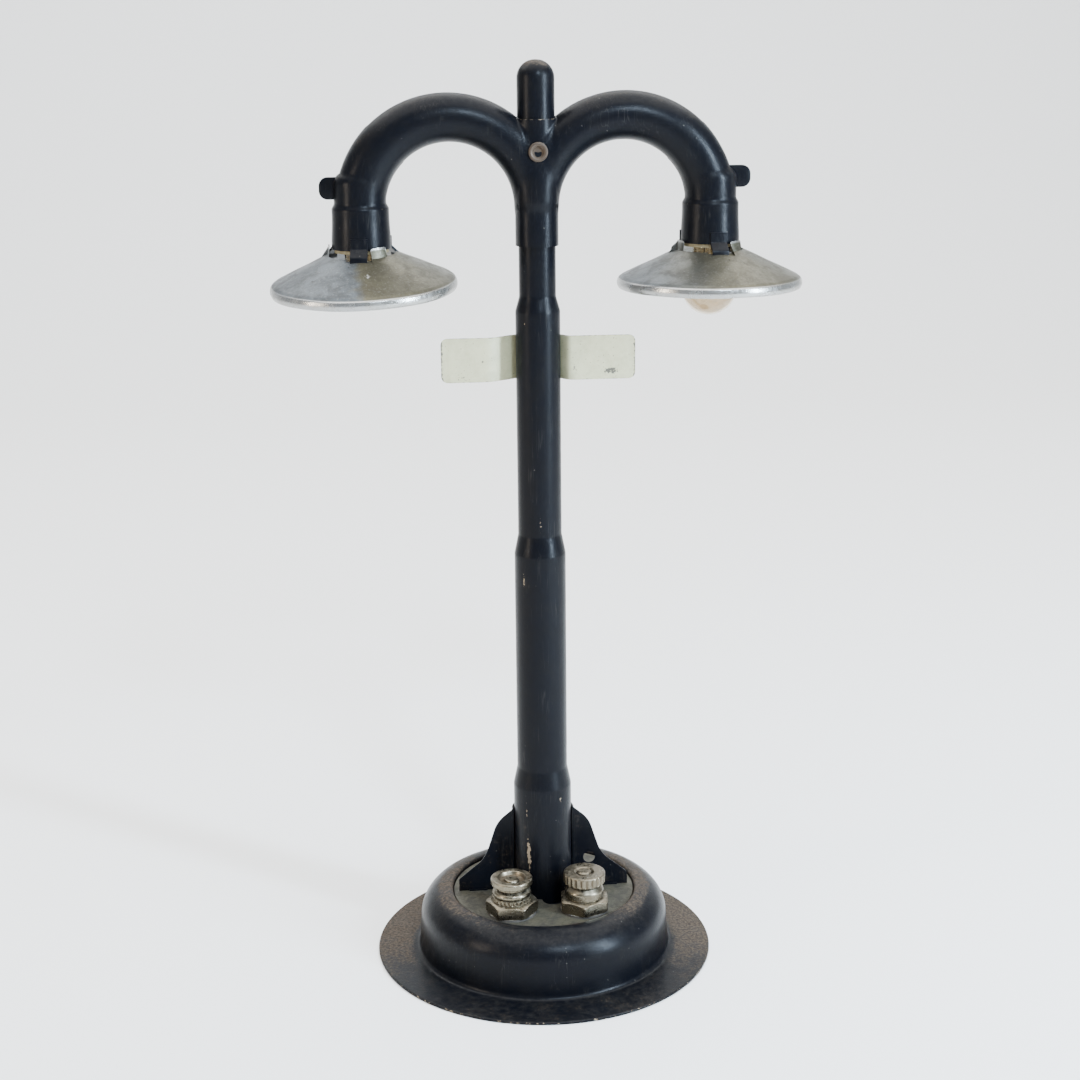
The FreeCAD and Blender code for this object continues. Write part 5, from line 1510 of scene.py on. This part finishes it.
@dataclass
class Lamp:
    """One shade and the miniature bulb under it."""

    shop: Workshop
    side: Side
    out: float = 45.0
    ring_level: float = 195.7
    rim: float = 23.9
    band: float = 2.5
    ring: float = 8.8
    rise: float = 7.0

    @property
    def globe(self) -> tuple[float, float]:
        """The radius and the middle's level of this lamp's glass globe."""
        return (7.15, 185.8) if self.side is Side.RIGHT else (5.55, 188.75)

    def build(self) -> None:
        """Builds the shade and the bulb's visible pieces."""
        self._shade()
        self._glass()
        self._cap()
        self._filament()

    def _shade(self) -> None:
        """The shade: band, cone and ring, drawn up into petals and cut back at notches."""
        turn = np.arange(0.0, 360.0, 1.0)
        local = (turn + 60) % 120 - 60
        profile = rounded_profile([
            (self.rim - 0.25, 0.0), (self.rim, 0.25, 0.2), (self.rim, self.band - 0.5, 0.5),
            (self.rim - 0.6, self.band, 0.5), (self.ring + 0.5, self.band + self.rise - 0.25)],
            0.45)
        rows = len(profile)
        radius = profile[:, :1] * np.ones_like(turn)
        height = profile[:, 1:] * np.ones_like(turn)
        slope = self.rise / (self.rim - 0.6 - self.ring)
        inner = np.linspace(0, 1, 9)[1:, None]
        notch = np.abs(local) < math.degrees(math.asin(3.3 / 9.6))
        petal = (local > 20) & (local < 52)
        reach = 10.25 / np.maximum(np.cos(np.radians(local)), 0.5)
        end_radius = np.where(notch, reach, self.ring - 0.1)
        start = radius[-1]
        flat_r = start + (end_radius - start) * np.minimum(inner * 2, 1)
        flat_z = height[-1] - (flat_r - start) * slope
        lift = np.maximum(inner * 2 - 1, 0)
        tip = np.clip(np.minimum(local - 20, 52 - local) / 5.0, 0, 1)
        crest = 2.6 * (0.72 + 0.28 * np.sqrt(1 - (1 - tip) ** 2))
        up = np.where(petal, lift * crest, 0.0)
        in_r = np.where(petal, flat_r - 0.35 * np.sin(lift * math.pi / 2), flat_r)
        radius = np.concatenate([radius, in_r])
        height = np.concatenate([height, flat_z + up])
        start_turn = np.radians(turn + self.side.tab_turn)
        hammer = 0.035 * np.sin(start_turn * 7 + radius * 0.8) * smoothstep(9, 12, radius)
        x = radius * np.sin(start_turn)
        y = -radius * np.cos(start_turn)
        z = height + hammer
        grid = np.stack([x, y, z], -1)
        # The rim band and the petal crests get a high edge value, which the tin finish paints
        # brighter: worn tin and a painted highlight.
        edge = np.zeros((len(height), 1))
        edge[:rows, 0] = smoothstep(self.band + 0.1, self.band - 0.5, profile[:, 1])
        edge = np.maximum(edge * np.ones_like(turn), np.where(petal, lift_all(inner, rows), 0))
        mark = bump(np.degrees(start_turn), 4.0, 9.0) * bump(radius, 15.5, 2.5) * 0.6
        skin = Skin()
        skin.add(self._seat(grid), wrap=True, edge=edge, worn=mark, flip=True)
        name = f"{self.side.label}_shade"
        shade = thicken(skin.build(name.capitalize(), smooth=50.0), 0.5, 50.0, even=False)
        # The left shade takes the tin finish whose painted reflection splits at its own place
        # along X.
        paint = "tin_plate_left_reflection" if self.side is Side.LEFT else None
        self.shop.place(shade, name, paint)

    def _seat(self, grid: Array) -> Array:
        """Stands a shade on its lamp; the left one hangs a little crooked."""
        ring = self.band + self.rise
        tilt = Matrix.Identity(3)
        lift = 0.0
        if self.side is Side.LEFT:
            tilt = Matrix.Rotation(math.radians(LEAN_FRONT), 3, "X") @ Matrix.Rotation(
                math.radians(-LEAN_LEFT), 3, "Y")
            lift = LEAN_LIFT
        turned = (grid - (0, 0, ring)) @ np.array(tilt).T
        return turned + (self.side.value * self.out, 0, self.ring_level + lift)

    def _upright(self, grid: Array) -> Array:
        """Moves a turned grid to this lamp's axis."""
        return grid + (self.side.value * self.out, 0, 0)

    def _glass(self) -> None:
        """The bulb's glass: globe and neck outside, the same inside, with a sealing pip."""
        radius, centre = self.globe
        neck, top, thick = 4.42, 199.7, 0.35
        profiles = []
        for inset in (0.0, thick):
            big, small = radius - inset, neck - inset
            join = math.asin(small / big)
            angle = np.linspace(0.02, math.pi - join, 60)
            ball = np.stack([big * np.sin(angle), centre - big * np.cos(angle)], 1)
            ball[:, 0] += 0.075 * bump(ball[:, 1], ball[-1, 1], 1.2)
            stem = np.stack([np.full(6, small), np.linspace(ball[-1, 1] + 0.4, top, 6)], 1)
            profiles.append(np.concatenate([ball, stem]))
        profile = np.concatenate([profiles[0], profiles[1][::-1]])
        skin = Skin()
        skin.add(self._upright(lathe(profile, 72)), wrap=True, caps=True)
        self.shop.close(skin, f"{self.side.label}_bulb_glass", smooth=60.0)

    def _cap(self) -> None:
        """The bulb's cap: a tube whose wall swings in and out along a rolled helix."""
        low, high, radius = 197.3, 205.3, 4.72
        profile = rounded_profile([
            (4.47, low), (radius, low, 0.1), (radius, high - 0.8, 0.4), (2.6, high + 0.6, 0.2),
            (2.4, high + 0.35), (4.3, high - 0.9, 0.2), (4.47, low)], 0.12)[:-1]
        grid = lathe(profile, 72)
        turn = np.linspace(0, 1, 72, endpoint=False)[None]
        height = profile[:, 1:]
        wave = 0.5 - 0.5 * np.cos(TAU * ((height - low) / 1.82 - turn))
        fade = smoothstep(low + 0.5, low + 1.1, height) * smoothstep(high - 0.9, high - 1.5,
                                                                     height)
        depth = 0.2 * wave * fade
        size = np.linalg.norm(grid[..., :2], axis=-1)
        grid[..., :2] *= ((size - depth) / size)[..., None]
        skin = Skin()
        skin.add(self._upright(np.concatenate([grid, grid[:1]])), wrap=True,
                 worn=np.concatenate([wave * fade, wave[:1] * fade[:1]]) * 0.5, flip=True)
        self.shop.close(skin, f"{self.side.label}_bulb_base", smooth=45.0)

    def _filament(self) -> None:
        """The filament: a fine coil bowed between two bent supports."""
        radius, level = self.globe
        bead = level + radius * 0.35 + 0.8
        skin = Skin()
        turns = np.linspace(0, 1, 340)
        coil = np.stack([-2.3 + 4.6 * turns, 0.16 * np.cos(turns * TAU * 17),
                         level + 0.16 * np.sin(turns * TAU * 17)
                         + 0.35 * np.sin(turns * math.pi)], 1)
        skin.add(self._upright(tube(coil, 0.05, 6)), wrap=True, caps=True)
        for hand in (-1, 1):
            path = rounded_profile([(2.3, level - 0.1), (1.37, bead, 1.0),
                                    (1.37, 199.6)], 0.3)
            line = np.stack([hand * path[:, 0], 0 * path[:, 0], path[:, 1]], 1)
            skin.add(self._upright(tube(line, 0.2, 10)), wrap=True, caps=True)
        self.shop.close(skin, f"{self.side.label}_bulb_filament", weld=0.0001)


def lift_all(inner: Array, rows: int) -> Array:
    """An edge value that is 0 on the cone's rows and grows to 0.8 at a petal's crest."""
    return np.concatenate([np.zeros((rows, 1)), 0.8 * smoothstep(0.8, 1.0, inner)])


def orient(item: bpy.types.Object) -> None:
    """Turns a closed mesh's faces outwards."""
    work = bmesh.new()
    work.from_mesh(item.data)
    bmesh.ops.recalc_face_normals(work, faces=work.faces)
    work.to_mesh(item.data)
    work.free()


# ------------------------------------------------------------------ binding posts


@dataclass
class BindingPost:
    """One terminal: threaded stud, hexagon nut, clamp nut, washer and thumb nut."""

    shop: Workshop
    side: Side
    out: float = 10.0
    front: float = 14.5
    bore: float = 2.14
    hex_low: float = 17.6
    clamp_low: float = 21.0
    thumb_low: float = 25.15
    pitch: float = 0.79

    def build(self) -> None:
        """Builds the visible hardware."""
        self._stud()
        self._hexagon()
        self._clamp_nut()
        self._washer()
        self._thumb_nut()

    def _place(self, grid: Array, node: str, worn: Array | float = 0.0,
               smooth: float = 35.0) -> None:
        """Makes one turned piece on this post's axis in place of its node."""
        skin = Skin()
        grid = grid + (self.side.value * self.out, -self.front, 0)
        skin.add(np.concatenate([grid, grid[:1]]), wrap=True,
                 worn=np.concatenate([worn, worn[:1]]) if np.ndim(worn) else worn)
        self.shop.close(skin, f"{self.side.label}_{node}", smooth)

    def _stud(self) -> None:
        """The stud: a bar whose radius dips along a fine helix, with a domed end."""
        top = 28.3 if self.side is Side.RIGHT else 27.0
        profile = rounded_profile([(0.02, 11.6), (3.6, 11.6, 0.8), (3.6, 13.4, 0.2),
                                   (2.08, 13.4), (2.08, top - 0.35, 0.2), (1.6, top, 0.2),
                                   (0.02, top)], 0.10)
        segments = 48
        turn = np.linspace(0, 1, segments, endpoint=False)[None]
        height = profile[:, 1:]
        wave = np.abs(((height / self.pitch - turn) % 1) * 2 - 1)
        fade = smoothstep(14.0, 14.6, height) * smoothstep(top - 0.15, top - 0.5, height)
        depth = 0.34 * wave * fade * (profile[:, :1] > 1.9)
        grid = lathe(profile, segments)
        size = np.linalg.norm(grid[..., :2], axis=-1)
        grid[..., :2] *= ((size - depth) / size)[..., None]
        skin = Skin()
        skin.add(grid + (self.side.value * self.out, -self.front, 0), wrap=True, caps=True,
                 worn=wave * fade * 0.7)
        self.shop.close(skin, f"{self.side.label}_stud", smooth=40.0)

    def _hexagon(self) -> None:
        """The hexagon nut: each ray stops at the flat or at the crowning cone."""
        flat = 6.35
        start = math.radians(-5.0 if self.side is Side.LEFT else 25.0)
        low, top = self.hex_low, self.clamp_low
        segments = 180
        profile = rounded_profile([(self.bore, low), (7.4, low), (7.4, low + 0.25),
                                   (7.4, top - 1.1), (7.0, top - 0.55), (6.6, top - 0.35),
                                   (6.2, top - 0.12), (5.8, top, 0.1), (2.6, top, 0.2),
                                   (self.bore, top - 0.4), (self.bore, low)], 0.35)[:-1]
        turn = np.linspace(0, TAU, segments, endpoint=False)[None]
        world = turn - math.pi / 2
        within = (world - start) % (math.pi / 3) - math.pi / 6
        prism = flat / np.cos(within)
        prism = 7.25 - np.log1p(np.exp((7.25 - prism) * 14)) / 14
        cone = flat - 0.35 + np.maximum(top - profile[:, 1:], 0) * 1.95 / 0.95
        limit = np.minimum(prism, np.minimum(cone, 6.9 + (profile[:, 1:] - low) * 2.2))
        radius = np.minimum(profile[:, :1], limit)
        x, y = radius * np.sin(turn), -radius * np.cos(turn)
        z = profile[:, 1:] * np.ones_like(turn)
        self._place(np.stack([x, y, z], -1), "hex_nut", smooth=28.0)

    def _knurl(self, grid: Array, low: float, high: float, count: int, cut: float) -> Array:
        """Presses upright grooves into a turned grid between two heights.

        Args:
            grid: the turned grid.
            low: where the grooves start.
            high: where they end.
            count: how many go round.
            cut: how deep they are.

        Returns:
            How deep each point was pressed, as a share of the cut.
        """
        turn = np.linspace(0, TAU, grid.shape[1], endpoint=False)[None]
        size = np.linalg.norm(grid[..., :2], axis=-1)
        reach = size.max()
        groove = np.clip(np.abs(((turn * count / TAU) % 1) * 2 - 1) * 1.5 - 0.5, 0, 1) ** 0.8
        band = smoothstep(low, low + 0.12, grid[..., 2]) * smoothstep(high, high - 0.12,
                                                                      grid[..., 2])
        share = groove * band * smoothstep(reach - cut * 2.2, reach - cut * 0.4, size)
        grid[..., :2] *= ((size - cut * share) / size)[..., None]
        return share

    def _clamp_nut(self) -> None:
        """The clamp nut: a shouldered round nut, knurled on the left post."""
        low, radius, top, left = self.clamp_low, 5.35, 24.5, self.side is Side.LEFT
        if left:
            corners = [(self.bore, low), (radius, low, 0.2), (radius, low + 1.25, 0.15),
                       (radius - 0.5, low + 1.4), (radius, low + 1.75, 0.5),
                       (radius, top - 0.8, 0.9), (radius - 1.1, top, 0.4),
                       (self.bore, top), (self.bore, low)]
        else:
            corners = [(self.bore, low), (radius, low, 0.15), (radius, top - 1.3, 1.1),
                       (radius - 1.1, top, 0.5), (self.bore, top), (self.bore, low)]
        grid = lathe(rounded_profile(corners, 0.16 if left else 0.2)[:-1], 208)
        worn = self._knurl(grid, low + 0.05, low + 1.25, 26, 0.30) * 0.8 if left else 0.0
        self._place(grid, "clamp_nut", worn)

    def _washer(self) -> None:
        """The wire washer: a thin ring with rounded arrises."""
        low = 24.55
        profile = rounded_profile([(2.25, low), (4.4, low, 0.15), (4.4, low + 0.55, 0.15),
                                   (2.25, low + 0.55), (2.25, low)], 0.2)[:-1]
        self._place(lathe(profile, 72), "wire_washer", 0.25)

    def _thumb_nut(self) -> None:
        """The thumb nut: a dished wheel on the left, a thick knurled one on the right."""
        low, rim, right = self.thumb_low, 5.75, self.side is Side.RIGHT
        if right:
            start, top = low + 0.15, low + 2.95
            corners = [(self.bore, low), (rim - 1.3, low), (rim - 1.3, start, 0.1),
                       (rim, start, 0.3), (rim, top, 0.5), (2.7, top, 0.2),
                       (self.bore, top - 0.4), (self.bore, low)]
        else:
            start, top = low + 0.45, low + 2.25
            corners = [(self.bore, low), (rim - 1.0, low), (rim - 1.0, start, 0.1),
                       (rim, start, 0.3), (rim, top, 0.45), (rim - 1.9, top, 0.3),
                       (3.3, top - 1.0, 0.2), (self.bore, top - 1.1), (self.bore, low)]
        profile = rounded_profile(corners, 0.2)[:-1]
        grid = lathe(profile, 220)
        sunk = smoothstep(3.9, 3.2, profile[:, :1]) * (profile[:, 1:] > start + 0.4)
        worn: Array | float = sunk * np.ones(220)
        if right:
            worn = self._knurl(grid, start + 0.1, top - 0.2, 22, 0.30) * 0.8
        self._place(grid, "thumb_nut", worn)


# ------------------------------------------------------------------ studio


@dataclass
class Studio:
    """A pale floor and sweep, soft lights and the camera."""

    pale: tuple = (0.86, 0.86, 0.85)

    def build(self) -> None:
        """Builds the stage."""
        self._sweep()
        self._world()
        self._light("Key", (560, -430, 330), 70, 460, 17.0, (0.66, 0.82, 1.0))
        self._light("Window", (210, -760, 720), 130, 130, 9.0, (0.66, 0.82, 1.0))
        self._light("Fill", (-620, -300, 260), 110, 320, 2.4, (1.0, 0.86, 0.70))
        self._light("Top", (0, 200, 1250), 2000, 2000, 56.0, (1.0, 0.99, 0.97))
        self._camera()

    def _sweep(self) -> None:
        """The floor: a wide sheet that curves up behind, one plain pale colour."""
        path = rounded_profile([(-2200, 0), (1500, 0, 700), (1500, 2200)], 60)
        across = np.linspace(-2600, 2600, 12)[:, None]
        x = across * np.ones(len(path))
        y, z = path[:, 0] * np.ones_like(across), path[:, 1] * np.ones_like(across)
        skin = Skin()
        skin.add(np.stack([x, y, z], -1), flip=True)
        sweep = skin.build("Stage_sweep", smooth=60.0)
        material = bpy.data.materials.new("stage pale")
        material.use_nodes = True
        shader = material.node_tree.nodes["Principled BSDF"]
        shader.inputs["Base Color"].default_value = (*self.pale, 1)
        shader.inputs["Roughness"].default_value = 0.9
        shader.inputs["Specular IOR Level"].default_value = 0.1
        sweep.data.materials.append(material)

    def _world(self) -> None:
        """A dim even sky."""
        world = bpy.data.worlds.new("studio")
        bpy.context.scene.world = world
        world.use_nodes = True
        sky = world.node_tree.nodes["Background"]
        sky.inputs["Color"].default_value = (0.93, 0.96, 1.0, 1)
        sky.inputs["Strength"].default_value = 0.62

    @staticmethod
    def _light(name: str, place: tuple, wide: float, tall: float, power: float,
               colour: tuple) -> None:
        """Adds one soft box aimed at the middle of the pole.

        Args:
            name: the light's name.
            place: where it hangs, in millimetres.
            wide: its width.
            tall: its height.
            power: its power in watts.
            colour: its colour.
        """
        data = bpy.data.lights.new(name, "AREA")
        data.shape = "RECTANGLE"
        data.size, data.size_y = wide * MM, tall * MM
        data.energy = power
        data.color = colour
        item = bpy.data.objects.new(name, data)
        item.location = Vector(place) * MM
        aim = Vector((0, 0, 0.11)) - item.location
        item.rotation_euler = aim.to_track_quat("-Z", "Y").to_euler()
        bpy.context.scene.collection.objects.link(item)

    @staticmethod
    def _camera() -> None:
        """Places the camera in front, a little left and above, level with the head."""
        pitch, turn = math.radians(15.41), math.radians(5.0)
        data = bpy.data.cameras.new("Camera")
        data.lens = 62.75
        data.sensor_width = 36.0
        data.dof.use_dof = False
        item = bpy.data.objects.new("Camera", data)
        item.location = Vector((-42.5, -485.8, 253.2)) * MM
        forward = Vector((math.cos(pitch) * math.sin(turn), math.cos(pitch) * math.cos(turn),
                          -math.sin(pitch)))
        right = forward.cross(Vector((0, 0, 1))).normalized()
        up = right.cross(forward)
        roll = -0.01
        aside = right * math.cos(roll) + up * math.sin(roll)
        above = up * math.cos(roll) - right * math.sin(roll)
        basis = Matrix((aside, above, -forward)).transposed()
        item.matrix_world = Matrix.Translation(item.location) @ basis.to_4x4()
        bpy.context.scene.collection.objects.link(item)
        bpy.context.scene.camera = item


def main() -> None:
    """Builds every piece, the studio and the camera."""
    logging.basicConfig(level=logging.INFO, format="%(name)s: %(message)s")
    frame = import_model()
    shop = Workshop(frame)
    shop.dress_nodes()
    Base(shop).build()
    Pole(shop).build()
    Head(shop).build()
    for side in Side:
        Lamp(shop, side).build()
        BindingPost(shop, side).build()
    Studio().build()


if __name__ == "__main__":
    main()
